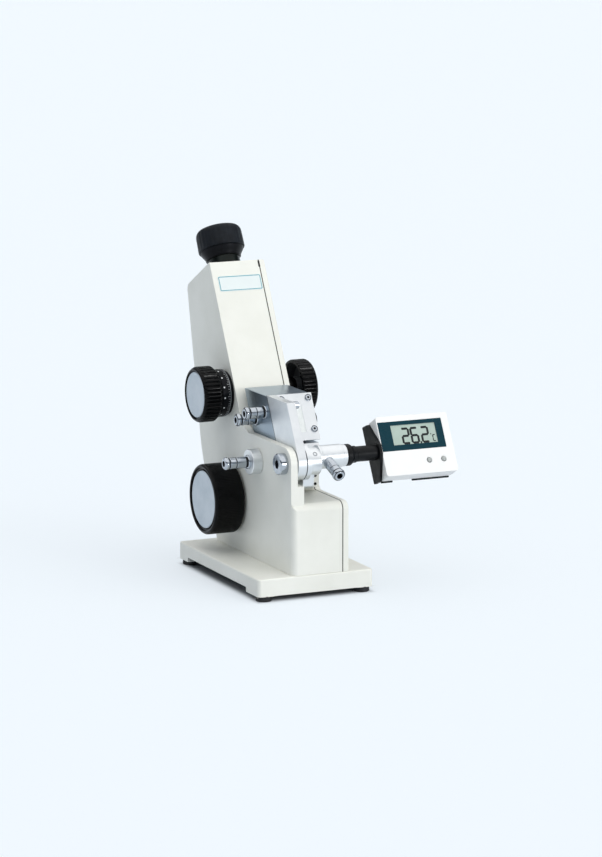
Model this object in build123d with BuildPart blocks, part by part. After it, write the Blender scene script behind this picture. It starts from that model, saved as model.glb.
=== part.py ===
import os
from math import cos, radians, sin, tan

from build123d import *

# Abbe refractometer, in millimetres. X runs to the right seen from the prism side, Y back towards
# the eyepiece, Z up. The origin is the middle of the base, on the surface that the feet stand on.

# Base plate and feet
base_width = 92.0
base_length = 147.0
base_top = 17.0
pad_bottom = 4.0
channel_top = 7.5
front_pad_length = 22.0
rear_pad_length = 17.0
foot_radius = 6.0
foot_inset_x = 7.0
foot_inset_y = 6.0
foot_pocket = 2.0

# Housing: side walls along X, and its outline seen from the side
wall_left = -18.5
seam = 21.5
cover_face = 26.7
wall = 4.0
front_face = -73.0
box_top = 69.0
box_corner = 5.0
recess_back = -25.0
column_foot = (16.0, 112.0)
column_top = 227.0
top_depth = 49.0
back_bend = (93.9, 82.7)
back_foot = 64.5
lean = radians(28)
screw_points = [(-63, 27), (-63, 58), (52, 27), (88, 98), (107, 195), (73.5, 210), (31, 123)]
boss_radius = 3.2
screw_radius = 1.5

# Hinge of the prism lid, and the ear that carries it
hinge_y, hinge_z = -58.5, 97.5
ear_radius = 12.0
ear_inner = -13.1
ear_base_inner = -8.0
ear_base_top = 82.0
bolt_radius = 3.5

# Prism boxes
lid_left, lid_right = -12.8, 22.0
lid_bottom, lid_top = 107.5, 139.5
lid_back_gap = 5.5
lid_front_at_139 = -17.2
frame_plate = 1.5
arm_right = -6.0
arm_radius = 12.9
arm_front_at_140 = -50.3
holder_left, holder_right = -5.5, 20.0
holder_top, holder_bottom = 106.0, 83.0
holder_lip = 93.0
nose_radius = 13.0
nose_step = -2.0
hub_radius = 10.2
nose_right = 7.0
prism_left, prism_right = -3.0, 15.0
lock_y, lock_z = 2.0, 116.0
lock_reach = 15.0
lock_stud_angle = radians(76)
lock_left = lid_right + 0.3
lock_pin_radius = 2.0
sample_gap_low, sample_gap_high = 106.2, 106.5

# Hose connectors
hose_bead = 4.7
hose_barrel = 4.0
hose_bore = 2.2
collar_radius = 9.35
collar_y, collar_z = -12.1, 91.3
collar_length = 7.9
lower_hose_length = 19.6
lid_hose_points = [(-12.4, 127.3), (3.2, 120.0)]
lid_hose_length = 17.0

# Thermometer socket and the digital thermometer
socket_z = 100.0
socket_radius = 8.6
socket_right = 25.6
socket_end = 29.4
socket_hose_x = 13.5
socket_hose_drop = radians(20)
socket_hose_reach = 28.0
gland_radius = 8.0
gland_right = 37.8
stem_radius = 5.7
probe_radius = 3.0
cheek_left = 54.5
case_left, case_right = 56.7, 115.0
case_down, case_up = -20.9, 24.7
case_front, case_back = -6.5, 6.0
cradle_back = 13.3
button_radius = 2.0
button_x = (93.2, 104.9)

# Index drive
index_y, index_z = 33.5, 56.2
knob_face = -43.5
index_knob_radius = 26.3
index_knob_root = -20.3
index_cap_radius = 21.5
pivot_y, pivot_z = 26.5, 66.0
sector_radius = 8.7
pinion_radius = 3.1

# Compensator drive
shaft_y, shaft_z = 47.6, 132.8
shaft_radius = 3.0
dispersion_radius = 20.8
dispersion_cap_radius = 17.0
right_knob_face = 49.0
amici_offset = 13.2
worm_radius = 3.9
wheel_radius = 9.0
cell_radius, cell_bore = 8.2, 6.5
optic_x = 4.0

# Eyepiece
neck_radius = 12.2
cup_radius = 17.7
running = 0.05

lean_dir = (0, sin(lean), cos(lean))
axis_x = Vector(1, 0, 0)
os.makedirs("parts", exist_ok=True)


def save(piece, name):
    piece.part.label = name
    export_step(piece.part, f"parts/{name}.step")


def slab(points, x_from, x_to, mode=Mode.ADD, radii=0):
    """A side-view outline, given as (y, z) points, extruded along X."""
    with BuildSketch(Plane.YZ.offset(x_from)) as outline:
        with BuildLine():
            if radii:
                FilletPolyline(points, radius=radii, close=True)
            else:
                Polyline(*points, close=True)
        make_face()
    extrude(outline.sketch, amount=x_to - x_from, mode=mode)


def rod(y, z, radius, x_from, x_to, mode=Mode.ADD):
    """A cylinder along X."""
    with BuildSketch(Plane.YZ.offset(x_from)) as circle:
        with Locations((y, z)):
            Circle(radius)
    extrude(circle.sketch, amount=x_to - x_from, mode=mode)


def turned(plane, profile, mode=Mode.ADD):
    """A turned shape: profile is (radius, height) about the plane's normal."""
    section = Plane(origin=plane.origin, x_dir=plane.x_dir, z_dir=-plane.y_dir)
    with BuildSketch(section) as outline:
        with BuildLine():
            Polyline(*profile, close=True)
        make_face()
    revolve(outline.sketch, axis=Axis(plane.origin, plane.z_dir), mode=mode)


def along_x(x, y, z):
    return Plane(origin=(x, y, z), x_dir=(0, 1, 0), z_dir=(1, 0, 0))


def leaned(y_at, z_at, z):
    """Y at height z on a line that leans back with the column through (y_at, z_at)."""
    return y_at + tan(lean) * (z - z_at)


def outline_points():
    top_y = leaned(*column_foot, column_top)
    return [
        (front_face, base_top),
        (front_face, box_top),
        (recess_back, box_top),
        column_foot,
        (top_y, column_top),
        (top_y + top_depth * cos(lean), column_top - top_depth * sin(lean)),
        back_bend,
        (back_foot, base_top),
    ]


outline_radii = [0, 6, 4, 6, 1.5, 6, 80, 0]
top_front_y = leaned(*column_foot, column_top)
eyepiece_origin = (
    optic_x,
    top_front_y + 0.47 * top_depth * cos(lean),
    column_top - 0.47 * top_depth * sin(lean),
)
eyepiece_plane = Plane(origin=eyepiece_origin, x_dir=(1, 0, 0), z_dir=lean_dir)
amici_origin = (
    optic_x,
    shaft_y + amici_offset * cos(lean),
    shaft_z - amici_offset * sin(lean),
)
amici_plane = Plane(origin=amici_origin, x_dir=(1, 0, 0), z_dir=lean_dir)
beam_start = (optic_x, -5.5, 98.7)
beam_plane = Plane(origin=beam_start, x_dir=(1, 0, 0), z_dir=(0, 1, -1))
beam_radius = 7.0
foot_points = [
    (sx * (base_width / 2 - foot_inset_x), sy * (base_length / 2 - foot_inset_y))
    for sx in (-1, 1)
    for sy in (-1, 1)
]
base_screw_points = [(x, y) for x in (-10, 12) for y in (-40, 40)]

# Base: a cast plate on four pads, with a channel across its underside between the pads.
with BuildPart() as base_plate:
    with BuildSketch(Plane.XY.offset(pad_bottom)):
        RectangleRounded(base_width, base_length, 3)
    extrude(amount=base_top - pad_bottom)
    fillet(base_plate.faces().sort_by(Axis.Z)[-1].edges(), 1.2)
    channel_length = base_length - front_pad_length - rear_pad_length
    with BuildSketch(Plane.XY.offset(pad_bottom)):
        with Locations((0, (front_pad_length - rear_pad_length) / 2)):
            Rectangle(base_width, channel_length)
    extrude(amount=channel_top - pad_bottom, mode=Mode.SUBTRACT)
    with BuildSketch(Plane.XY.offset(pad_bottom)):
        with Locations(*foot_points):
            Circle(foot_radius)
    extrude(amount=foot_pocket, mode=Mode.SUBTRACT)
    with BuildSketch(Plane.XY.offset(channel_top)):
        with Locations(*base_screw_points):
            Circle(2)
    extrude(amount=base_top - channel_top, mode=Mode.SUBTRACT)
    with BuildSketch(Plane.XY.offset(channel_top)):
        with Locations(*base_screw_points):
            Circle(4)
    extrude(amount=4, mode=Mode.SUBTRACT)
save(base_plate, "base_plate")

with BuildPart() as rubber_feet:
    with BuildSketch():
        with Locations(*foot_points):
            Circle(foot_radius)
    extrude(amount=pad_bottom + foot_pocket)
    fillet(rubber_feet.edges().filter_by(GeomType.CIRCLE).group_by(Axis.Z)[0], 1)
save(rubber_feet, "rubber_feet")

with BuildPart() as base_screws:
    with BuildSketch(Plane.XY.offset(channel_top + 0.5)):
        with Locations(*base_screw_points):
            Circle(4)
    extrude(amount=3.5)
    with BuildSketch(Plane.XY.offset(channel_top + 4)):
        with Locations(*base_screw_points):
            Circle(2)
    extrude(amount=base_top + wall - channel_top - 4)
    with BuildSketch(Plane.XY.offset(channel_top + 0.5)):
        with Locations(*base_screw_points):
            RegularPolygon(1.8, 6)
    extrude(amount=2, mode=Mode.SUBTRACT)
save(base_screws, "base_screws")

# Housing: a hollow casting open on its right side, with the hinge ear as part of its left wall.
with BuildPart() as housing_casting:
    slab(outline_points(), wall_left, seam, radii=outline_radii)
    with BuildSketch(Plane.YZ.offset(wall_left + wall)):
        with BuildLine():
            FilletPolyline(outline_points(), radius=outline_radii, close=True)
        make_face()
        offset(amount=-wall, kind=Kind.INTERSECTION)
    extrude(amount=seam - wall_left - wall, mode=Mode.SUBTRACT)
    ear_front = hinge_y - ear_radius
    ear_top = hinge_z + ear_radius
    column_at_ear = leaned(*column_foot, ear_top + 5)
    slab(
        [
            (ear_front, box_top - 8),
            (ear_front, ear_top),
            (6, ear_top),
            (column_at_ear, ear_top + 5),
            (column_at_ear + 3, ear_top + 5),
            (column_at_ear + 3, box_top - 8),
        ],
        wall_left,
        ear_inner,
        radii=[0, ear_radius - 0.01, 4, 0, 0, 0],
    )
    slab(
        [
            (ear_front, box_top - 5),
            (ear_front, ear_base_top),
            (recess_back + 10, ear_base_top),
            (recess_back + 4, box_top - 5),
        ],
        wall_left,
        ear_base_inner,
    )
    for y, z in screw_points:
        rod(y, z, boss_radius, wall_left + wall - 0.5, seam)
        rod(y, z, screw_radius, seam - 12, seam, Mode.SUBTRACT)
    rod(index_y, index_z, 6, wall_left, wall_left + wall, Mode.SUBTRACT)
    rod(shaft_y, shaft_z, 6, wall_left, wall_left + wall, Mode.SUBTRACT)
    rod(pivot_y, pivot_z, 5, wall_left + wall - 0.5, wall_left + wall + 1)
    rod(pivot_y, pivot_z, 2.5, wall_left + wall - 2, wall_left + wall + 1, Mode.SUBTRACT)
    rod(hinge_y, hinge_z, bolt_radius, wall_left, ear_inner, Mode.SUBTRACT)
    rod(collar_y, collar_z, 5, wall_left, ear_inner, Mode.SUBTRACT)
    with BuildSketch(beam_plane):
        Circle(beam_radius)
    extrude(amount=22, mode=Mode.SUBTRACT)
    with BuildSketch(eyepiece_plane.offset(-wall - 3)):
        Circle(neck_radius)
    extrude(amount=wall + 8, mode=Mode.SUBTRACT)
    with BuildSketch(Plane.XY.offset(base_top)):
        with Locations(*base_screw_points):
            Circle(2)
    extrude(amount=wall, mode=Mode.SUBTRACT)
    with BuildSketch(Plane.XY.offset(base_top)):
        with Locations((wall_left, front_face)):
            Rectangle(2 * box_corner, 2 * box_corner)
        with Locations((wall_left + box_corner, front_face + box_corner)):
            Circle(box_corner, mode=Mode.SUBTRACT)
    extrude(amount=box_top - base_top, mode=Mode.SUBTRACT)
save(housing_casting, "housing_casting")

cover_pocket = 2.7
window_y, window_z, window_radius = 49.0, 62.0, 5.5
calibration_y, calibration_z = 80.0, 172.0
with BuildPart() as housing_cover:
    slab(outline_points(), seam, cover_face, radii=outline_radii)
    fillet(housing_cover.faces().sort_by(Axis.X)[-1].edges(), 1.8)
    with BuildSketch(Plane.YZ.offset(seam)):
        with BuildLine():
            FilletPolyline(outline_points(), radius=outline_radii, close=True)
        make_face()
        offset(amount=-wall, kind=Kind.INTERSECTION)
        with Locations(*screw_points):
            Circle(boss_radius + 1, mode=Mode.SUBTRACT)
        with Locations((window_y, window_z)):
            Circle(window_radius + 2, mode=Mode.SUBTRACT)
        with Locations((calibration_y, calibration_z)):
            Circle(5, mode=Mode.SUBTRACT)
        with Locations((shaft_y, shaft_z)):
            Circle(8, mode=Mode.SUBTRACT)
    extrude(amount=cover_pocket, mode=Mode.SUBTRACT)
    for y, z in screw_points:
        rod(y, z, screw_radius, seam, cover_face, Mode.SUBTRACT)
        turned(along_x(cover_face, y, z), [(0, 0), (3, 0), (screw_radius, -1.8), (0, -1.8)], Mode.SUBTRACT)
    rod(shaft_y, shaft_z, 6, seam, cover_face, Mode.SUBTRACT)
    rod(window_y, window_z, window_radius, seam, cover_face, Mode.SUBTRACT)
    rod(calibration_y, calibration_z, 3, seam, cover_face, Mode.SUBTRACT)
save(housing_cover, "housing_cover")

with BuildPart() as cover_screws:
    for y, z in screw_points:
        rod(y, z, screw_radius, seam - 11, cover_face - 1.8)
        turned(along_x(cover_face, y, z), [(0, -0.3), (2.75, -0.3), (screw_radius, -1.8), (0, -1.8)])
        with BuildSketch(Plane.YZ.offset(cover_face - 0.3)):
            with Locations((y, z)):
                Rectangle(3.4, 0.7)
                Rectangle(0.7, 3.4)
        extrude(amount=-0.9, mode=Mode.SUBTRACT)
save(cover_screws, "cover_screws")

with BuildPart() as scale_window:
    turned(
        along_x(seam, window_y, window_z),
        [(0, 1), (window_radius, 1), (window_radius, 5.2), (window_radius + 1, 5.2), (window_radius + 1, 6.2),
         (4.4, 6.2), (4.4, 4.4), (0, 5.2)],
    )
save(scale_window, "scale_window")

with BuildPart() as calibration_screw:
    rod(calibration_y, calibration_z, 3 - running, seam - 6, cover_face - 1)
    with BuildSketch(Plane.YZ.offset(cover_face - 1)):
        with Locations((calibration_y, calibration_z)):
            Rectangle(2.4, 2.4)
    extrude(amount=-2.5, mode=Mode.SUBTRACT)
save(calibration_screw, "calibration_screw")

# Fixed half of the prism box: the refracting prism in its holder, whose nose is the hinge's right half.
holder_front_top = leaned(lid_front_at_139, 139, holder_top)
holder_front_low = leaned(lid_front_at_139, 139, holder_lip)


def front_wall(z):
    """Y of the housing's slanted front wall, which the holder is bolted to."""
    return recess_back + (z - box_top) * (column_foot[0] - recess_back) / (column_foot[1] - box_top)


refracting_outline = [(-22, sample_gap_low), (2, sample_gap_low), (-10, sample_gap_low - 12)]
with BuildPart() as refracting_prism_holder:
    slab(
        [
            (holder_front_top, holder_top),
            (front_wall(holder_top), holder_top),
            (front_wall(holder_bottom), holder_bottom),
            (-34, holder_bottom + 3),
            (holder_front_low, holder_lip),
        ],
        holder_left,
        holder_right,
        radii=[0.6, 0, 0, 3, 2],
    )
    for radius, x_from, x_to in ((nose_radius, holder_left, nose_step), (hub_radius, nose_step, nose_right)):
        rod(hinge_y, hinge_z, radius, x_from, x_to)
        slab(
            [
                (hinge_y, hinge_z + radius),
                (holder_front_top - 0.5, holder_top - 0.4),
                (holder_front_low + 4, holder_lip - 2),
                (hinge_y, hinge_z - radius),
            ],
            x_from,
            x_to,
        )
    slab(
        [(-64, 90), (-62, 79), (-50, 79), (-45, 92)],
        holder_left,
        nose_right - 4,
        radii=[0, 2, 3, 0],
    )
    slab(refracting_outline, prism_left, prism_right, Mode.SUBTRACT)
    slab([(-20, 104), (-14.5, 98.5), (-46, 92), (-41, 102.5)], 8.5, 15, Mode.SUBTRACT)
    with BuildSketch(beam_plane):
        Circle(beam_radius - 0.5)
    extrude(amount=20, mode=Mode.SUBTRACT)
    rod(hinge_y, hinge_z, 3, holder_left, 4, Mode.SUBTRACT)
    rod(collar_y, collar_z, 4, holder_left, holder_left + 2.5, Mode.SUBTRACT)
    stud_y = lock_y - lock_reach * cos(lock_stud_angle)
    rod(stud_y, lock_z - lock_reach * sin(lock_stud_angle), 1.9, holder_right, lock_left + 2.6)
save(refracting_prism_holder, "refracting_prism_holder")

with BuildPart() as refracting_prism:
    slab(refracting_outline, prism_left, prism_right)
save(refracting_prism, "refracting_prism")

with BuildPart() as hinge_bolt:
    rod(hinge_y, hinge_z, 7.75, wall_left - 6, wall_left)
    chamfer(hinge_bolt.edges().sort_by(Axis.X)[0], 0.8)
    rod(hinge_y, hinge_z, bolt_radius, wall_left, holder_left)
    rod(hinge_y, hinge_z, 3, holder_left, 3)
    with BuildSketch(Plane.YZ.offset(wall_left - 6)):
        with Locations((hinge_y, hinge_z)):
            RegularPolygon(3.5, 6)
    extrude(amount=3.2, mode=Mode.SUBTRACT)
save(hinge_bolt, "hinge_bolt")


def hose_profile(length, root_radius):
    """Half section of a hose connector, from its seat to the bead at its tip."""
    return [
        (hose_bore, 0),
        (root_radius, 0),
        (root_radius, 1.6),
        (hose_barrel - 0.4, 1.6),
        (hose_barrel - 0.4, 3),
        (hose_barrel, 3.6),
        (hose_barrel, length - 6),
        (hose_barrel - 0.6, length - 5.6),
        (hose_barrel - 0.6, length - 4.6),
        (hose_bead, length - 4),
        (hose_bead, length - 1),
        (hose_bead - 0.8, length),
        (hose_bore, length),
    ]


with BuildPart() as lower_hose_connector:
    seat = Plane(origin=(wall_left, collar_y, collar_z), x_dir=(0, 1, 0), z_dir=(-1, 0, 0))
    turned(
        seat,
        [(hose_bore, -13 - 2.5), (4, -13 - 2.5), (4, -13), (5, -13), (5, 0), (collar_radius, 0),
         (collar_radius, collar_length - 1), (collar_radius - 1, collar_length), (hose_bore, collar_length)],
    )
    turned(seat.offset(collar_length), hose_profile(lower_hose_length, 5.2))
save(lower_hose_connector, "lower_hose_connector")

# Thermometer socket beside the hinge nose, with its own hose connector pointing down and forward.
socket_hose_dir = Vector(0, -cos(socket_hose_drop), -sin(socket_hose_drop))
socket_hose_plane = Plane(origin=(socket_hose_x, hinge_y, socket_z), x_dir=(1, 0, 0), z_dir=socket_hose_dir)
with BuildPart() as thermometer_socket:
    turned(
        along_x(nose_right, hinge_y, socket_z),
        [(0, 0), (socket_radius + 0.4, 0), (socket_radius + 0.4, 1.4), (socket_radius, 1.8),
         (socket_radius, socket_right - nose_right), (socket_radius - 0.5, socket_right - nose_right + 0.4),
         (socket_radius - 0.5, socket_end - nose_right - 0.6), (socket_radius - 1.1, socket_end - nose_right),
         (probe_radius + 0.1, socket_end - nose_right), (probe_radius + 0.1, 4), (0, 4)],
    )
    with BuildSketch(socket_hose_plane.offset(7)):
        Circle(4.0)
    extrude(amount=6, mode=Mode.SUBTRACT)
    with BuildSketch(socket_hose_plane.offset(3)):
        Circle(hose_bore)
    extrude(amount=6, mode=Mode.SUBTRACT)
save(thermometer_socket, "thermometer_socket")

with BuildPart() as socket_hose_connector:
    reach = socket_hose_reach
    turned(
        socket_hose_plane,
        [(hose_bore, 7), (4, 7), (4, reach - 7.5), (3.4, reach - 7.1), (3.4, reach - 6), (4, reach - 5.6),
         (hose_bead - 0.2, reach - 4), (hose_bead - 0.2, reach - 0.8), (hose_bead - 1, reach), (hose_bore, reach)],
    )
save(socket_hose_connector, "socket_hose_connector")

with BuildPart() as thermometer_gland:
    turned(
        along_x(socket_end, hinge_y, socket_z),
        [(probe_radius + running, 0), (gland_radius, 0), (gland_radius, gland_right - socket_end - 0.8),
         (gland_radius - 0.8, gland_right - socket_end), (probe_radius + running, gland_right - socket_end)],
    )
save(thermometer_gland, "thermometer_gland")

# Light shield: a thin plate in front of the refracting prism's window, on a shoulder screw.
shield_z = 101.0
shield_plane = Plane(
    origin=(12.2, leaned(lid_front_at_139, 139, shield_z), shield_z),
    x_dir=(1, 0, 0),
    z_dir=(0, -cos(lean), sin(lean)),
)
with BuildPart() as light_shield:
    with BuildSketch(shield_plane.offset(0.3)):
        with Locations((0, -4)):
            RectangleRounded(8.6, 13, 2)
        Circle(1.3, mode=Mode.SUBTRACT)
    extrude(amount=1.2)
save(light_shield, "light_shield")

with BuildPart() as shield_screw:
    with BuildSketch(shield_plane.offset(1.6)):
        Circle(2.4)
    extrude(amount=1.2)
    with BuildSketch(shield_plane):
        Circle(1.2)
    extrude(amount=1.6)
    with BuildSketch(shield_plane.offset(2.8)):
        Rectangle(0.7, 5)
    extrude(amount=-0.7, mode=Mode.SUBTRACT)
save(shield_screw, "shield_screw")

# Reflector: a small mirror under the holder, on a pin in a bracket that stands out from the slanted wall.
reflector_y, reflector_z = -29.0, 77.0
reflector_tilt = 38
bracket_left, bracket_right = 16.5, 21.5
with BuildPart() as reflector_bracket:
    slab(
        [
            (reflector_y - 3, reflector_z - 5),
            (reflector_y - 3, reflector_z + 5.6),
            (front_wall(reflector_z + 5.6), reflector_z + 5.6),
            (front_wall(reflector_z - 5), reflector_z - 5),
        ],
        bracket_left,
        bracket_right,
        radii=[0.8, 0.8, 0, 0],
    )
    rod(reflector_y, reflector_z, 1.1 + running, bracket_left, bracket_right, Mode.SUBTRACT)
save(reflector_bracket, "reflector_bracket")

with BuildPart() as reflector:
    rod(reflector_y, reflector_z, 1.1, -2, bracket_right)
    with BuildSketch(Plane.YZ.offset(-4.5)):
        with Locations(Location((reflector_y, reflector_z, 0), (0, 0, reflector_tilt))):
            Rectangle(13, 1.8)
    extrude(amount=20.5)
save(reflector, "reflector")

# Prism lid: the illuminating prism in its holder, swung on the arm about the hinge bolt.
plate_shift = frame_plate / cos(lean)
lid_back_foot = leaned(*column_foot, lid_bottom) - lid_back_gap
illuminating_outline = [(-22, sample_gap_high), (2, sample_gap_high), (-14, 127)]
with BuildPart() as illuminating_prism_holder:
    slab(
        [
            (leaned(lid_front_at_139, 139, lid_bottom) + plate_shift, lid_bottom),
            (leaned(lid_front_at_139, 139, lid_top) + plate_shift, lid_top),
            (leaned(lid_back_foot, lid_bottom, lid_top), lid_top),
            (lid_back_foot, lid_bottom),
        ],
        lid_left,
        lid_right,
    )
    fillet(illuminating_prism_holder.faces().sort_by(Axis.Z)[-1].edges(), 0.8)
    slab(illuminating_outline, prism_left, prism_right, Mode.SUBTRACT)
    window_plane = Plane(
        origin=(6, leaned(lid_front_at_139, 139, 122) + plate_shift, 122),
        x_dir=(1, 0, 0),
        z_dir=(0, -cos(lean), sin(lean)),
    )
    with BuildSketch(window_plane):
        Rectangle(14, 22)
    extrude(amount=-11, mode=Mode.SUBTRACT)
    for y, z in lid_hose_points:
        rod(y, z, hose_bore, lid_left, prism_left - 2, Mode.SUBTRACT)
    rod(lock_y, lock_z, lock_pin_radius, lid_right, lock_left + 5.5)
save(illuminating_prism_holder, "illuminating_prism_holder")

with BuildPart() as illuminating_prism:
    slab(illuminating_outline, prism_left, prism_right)
save(illuminating_prism, "illuminating_prism")

with BuildPart() as frosted_window:
    with BuildSketch(window_plane):
        Rectangle(14, 22)
    extrude(amount=-2)
save(frosted_window, "frosted_window")

lid_screw_points = [(lid_right - 3.3, 3.8), (lid_right - 3.3, 28.0), (-2.6, 3.8), (-2.6, 28.0)]
frame_origin_y = leaned(lid_front_at_139, 139, lid_top) + plate_shift
frame_plane = Plane(origin=(0, frame_origin_y, lid_top), x_dir=(1, 0, 0), z_dir=(0, -cos(lean), sin(lean)))
frame_drop = (lid_top - lid_bottom) / cos(lean)
with BuildPart() as window_frame:
    with BuildSketch(frame_plane):
        with Locations(((arm_right + 0.2 + lid_right) / 2, -frame_drop / 2)):
            Rectangle(lid_right - arm_right - 0.2, frame_drop)
        with Locations((6, -(lid_top - 122) / cos(lean))):
            Rectangle(12, 20, mode=Mode.SUBTRACT)
        with Locations(*[(x, -d) for x, d in lid_screw_points]):
            Circle(screw_radius, mode=Mode.SUBTRACT)
    extrude(amount=frame_plate)
save(window_frame, "window_frame")

with BuildPart() as lid_screws:
    with BuildSketch(frame_plane.offset(frame_plate)):
        with Locations(*[(x, -d) for x, d in lid_screw_points]):
            Circle(2.6)
    extrude(amount=0.9)
    with BuildSketch(frame_plane):
        with Locations(*[(x, -d) for x, d in lid_screw_points]):
            Circle(screw_radius)
    extrude(amount=frame_plate)
save(lid_screws, "lid_screws")

with BuildPart() as hinge_arm:
    arm_back_low = leaned(lid_front_at_139, 139, lid_bottom) + plate_shift
    arm_back_top = leaned(lid_front_at_139, 139, lid_top + 0.6) + plate_shift
    slab(
        [
            (arm_back_top, lid_top + 0.6),
            (leaned(arm_front_at_140, 140.2, lid_top + 0.6), lid_top + 0.6),
            (hinge_y - arm_radius * cos(lean), hinge_z + arm_radius * sin(lean)),
            (hinge_y, hinge_z),
            (hinge_y + arm_radius * cos(radians(40)), hinge_z - arm_radius * sin(radians(40))),
            (arm_back_low, lid_bottom),
        ],
        lid_left,
        arm_right,
    )
    rod(hinge_y, hinge_z, arm_radius, lid_left, arm_right)
    rod(hinge_y, hinge_z, bolt_radius + running, lid_left, arm_right, Mode.SUBTRACT)
save(hinge_arm, "hinge_arm")

for (y, z), name in zip(lid_hose_points, ("front_hose_connector", "rear_hose_connector")):
    with BuildPart() as lid_hose_connector:
        lid_seat = Plane(origin=(lid_left, y, z), x_dir=(0, 1, 0), z_dir=(-1, 0, 0))
        turned(lid_seat, hose_profile(lid_hose_length, 5.0))
    save(lid_hose_connector, name)

# Lock: a lever on the lid whose claw swings down over a stud on the fixed holder.
with BuildPart() as lock_lever:
    rod(lock_y, lock_z, 4.2, lock_left, lock_left + 2.4)
    slab(
        [(lock_y, lock_z - 3.2), (lock_y, lock_z + 4.2), (lock_y - lock_reach - 4.5, lock_z + 4.2),
         (lock_y - lock_reach - 4.5, lock_z - 3.2)],
        lock_left,
        lock_left + 2.4,
        radii=[0, 0, 2, 1],
    )
    slab(
        [(lock_y - lock_reach + 2.7, lock_z - 3.3), (lock_y - lock_reach + 2.7, lock_z + 2.3),
         (lock_y - lock_reach - 2.3, lock_z + 2.3), (lock_y - lock_reach - 2.3, lock_z - 3.3)],
        lock_left,
        lock_left + 2.4,
        Mode.SUBTRACT,
    )
    turned(
        along_x(lock_left + 2.4, lock_y, lock_z),
        [(0, 0), (5, 0), (5, 1), (7, 1.6), (7, 7.4), (6.2, 8.2), (0, 8.2)],
    )
    rod(lock_y, lock_z, lock_pin_radius + running, lock_left, lock_left + 6, Mode.SUBTRACT)
save(lock_lever, "lock_lever")

# Digital thermometer: probe and stem, black cradle, white case with its display and two buttons.
case_plane = Plane(origin=(0, hinge_y, socket_z), x_dir=(1, 0, 0), z_dir=(0, -cos(lean), sin(lean)))


def case_point(behind, up):
    """(y, z) of a point given by its distance behind the stem's axis and up the case."""
    return (hinge_y + behind * cos(lean) + up * sin(lean), socket_z - behind * sin(lean) + up * cos(lean))


with BuildPart() as thermometer_stem:
    rod(hinge_y, socket_z, probe_radius, nose_right + 5, gland_right + 0.3)
    rod(hinge_y, socket_z, stem_radius, gland_right + 0.3, cheek_left)
save(thermometer_stem, "thermometer_stem")

with BuildPart() as thermometer_cradle:
    slab(
        [case_point(13.3, 23.5), case_point(4, 22.5), case_point(-7.8, 3.5), case_point(-7.8, -3),
         case_point(3.5, -21.5), case_point(13.3, -20.5)],
        cheek_left,
        case_left,
        radii=[1, 1.5, 1, 1, 1.5, 1],
    )
    slab(
        [case_point(case_back, case_up - 1.5), case_point(cradle_back, case_up - 3),
         case_point(cradle_back, case_down + 3), case_point(case_back, case_down + 1.5)],
        case_left,
        case_right - 3,
        radii=[0, 2, 2, 0],
    )
save(thermometer_cradle, "thermometer_cradle")

window_left, window_right = 57.6, 109.2
window_low, window_high = -2.0, 20.3
panel_left, panel_right = 67.5, 103.5
panel_low, panel_high = 2.2, 17.4
case_wall = 1.8
with BuildPart() as thermometer_case:
    with BuildSketch(case_plane.offset(-case_back)):
        with Locations(((case_left + case_right) / 2, (case_down + case_up) / 2)):
            Rectangle(case_right - case_left, case_up - case_down)
    extrude(amount=case_back - case_front)
    fillet(thermometer_case.edges().filter_by(Axis((0, 0, 0), (0, cos(lean), -sin(lean)))), 2)
    with BuildSketch(case_plane.offset(-case_back)):
        with Locations(((case_left + case_right) / 2, (case_down + case_up) / 2)):
            Rectangle(case_right - case_left - 2 * case_wall, case_up - case_down - 2 * case_wall)
    extrude(amount=case_back - case_front - 3.4, mode=Mode.SUBTRACT)
    with BuildSketch(case_plane.offset(-case_front - 1.4)):
        with Locations(((window_left + window_right) / 2, (window_low + window_high) / 2)):
            Rectangle(window_right - window_left, window_high - window_low)
    extrude(amount=1.4, mode=Mode.SUBTRACT)
    with BuildSketch(case_plane.offset(-case_front - 3.4)):
        with Locations(((panel_left + panel_right) / 2, (panel_low + panel_high) / 2)):
            Rectangle(panel_right - panel_left, panel_high - panel_low)
    extrude(amount=2, mode=Mode.SUBTRACT)
    with BuildSketch(case_plane.offset(-case_front - 3.4)):
        with Locations(*[(x, -11) for x in button_x]):
            Circle(button_radius + running)
    extrude(amount=3.4, mode=Mode.SUBTRACT)
save(thermometer_case, "thermometer_case")

with BuildPart() as display_window:
    with BuildSketch(case_plane.offset(-case_front - 1.4)):
        with Locations(((window_left + window_right) / 2, (window_low + window_high) / 2)):
            Rectangle(window_right - window_left, window_high - window_low)
        with Locations(((panel_left + panel_right) / 2, (panel_low + panel_high) / 2)):
            Rectangle(panel_right - panel_left, panel_high - panel_low, mode=Mode.SUBTRACT)
    extrude(amount=1.4)
save(display_window, "display_window")

with BuildPart() as display_panel:
    with BuildSketch(case_plane.offset(-case_front - 3.4)):
        with Locations(((panel_left + panel_right) / 2, (panel_low + panel_high) / 2)):
            Rectangle(panel_right - panel_left, panel_high - panel_low)
    extrude(amount=2.8)
save(display_panel, "display_panel")

for x, name in zip(button_x, ("left_button", "right_button")):
    with BuildPart() as push_button:
        with BuildSketch(case_plane.offset(-case_front - 4.8)):
            with Locations((x, -11)):
                Circle(button_radius)
        extrude(amount=5.6)
        with BuildSketch(case_plane.offset(-case_front - 4.8)):
            with Locations((x, -11)):
                Circle(button_radius + 1)
        extrude(amount=1.2)
    save(push_button, name)

# Index drive: the large knob turns a pinion, and the pinion swings the mirror arm and the scale.
with BuildPart() as index_bush:
    turned(
        along_x(wall_left, index_y, index_z),
        [(shaft_radius + running, -1.5), (9, -1.5), (9, 0), (6, 0), (6, wall + 2), (shaft_radius + running, wall + 2)],
    )
save(index_bush, "index_bush")

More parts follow.
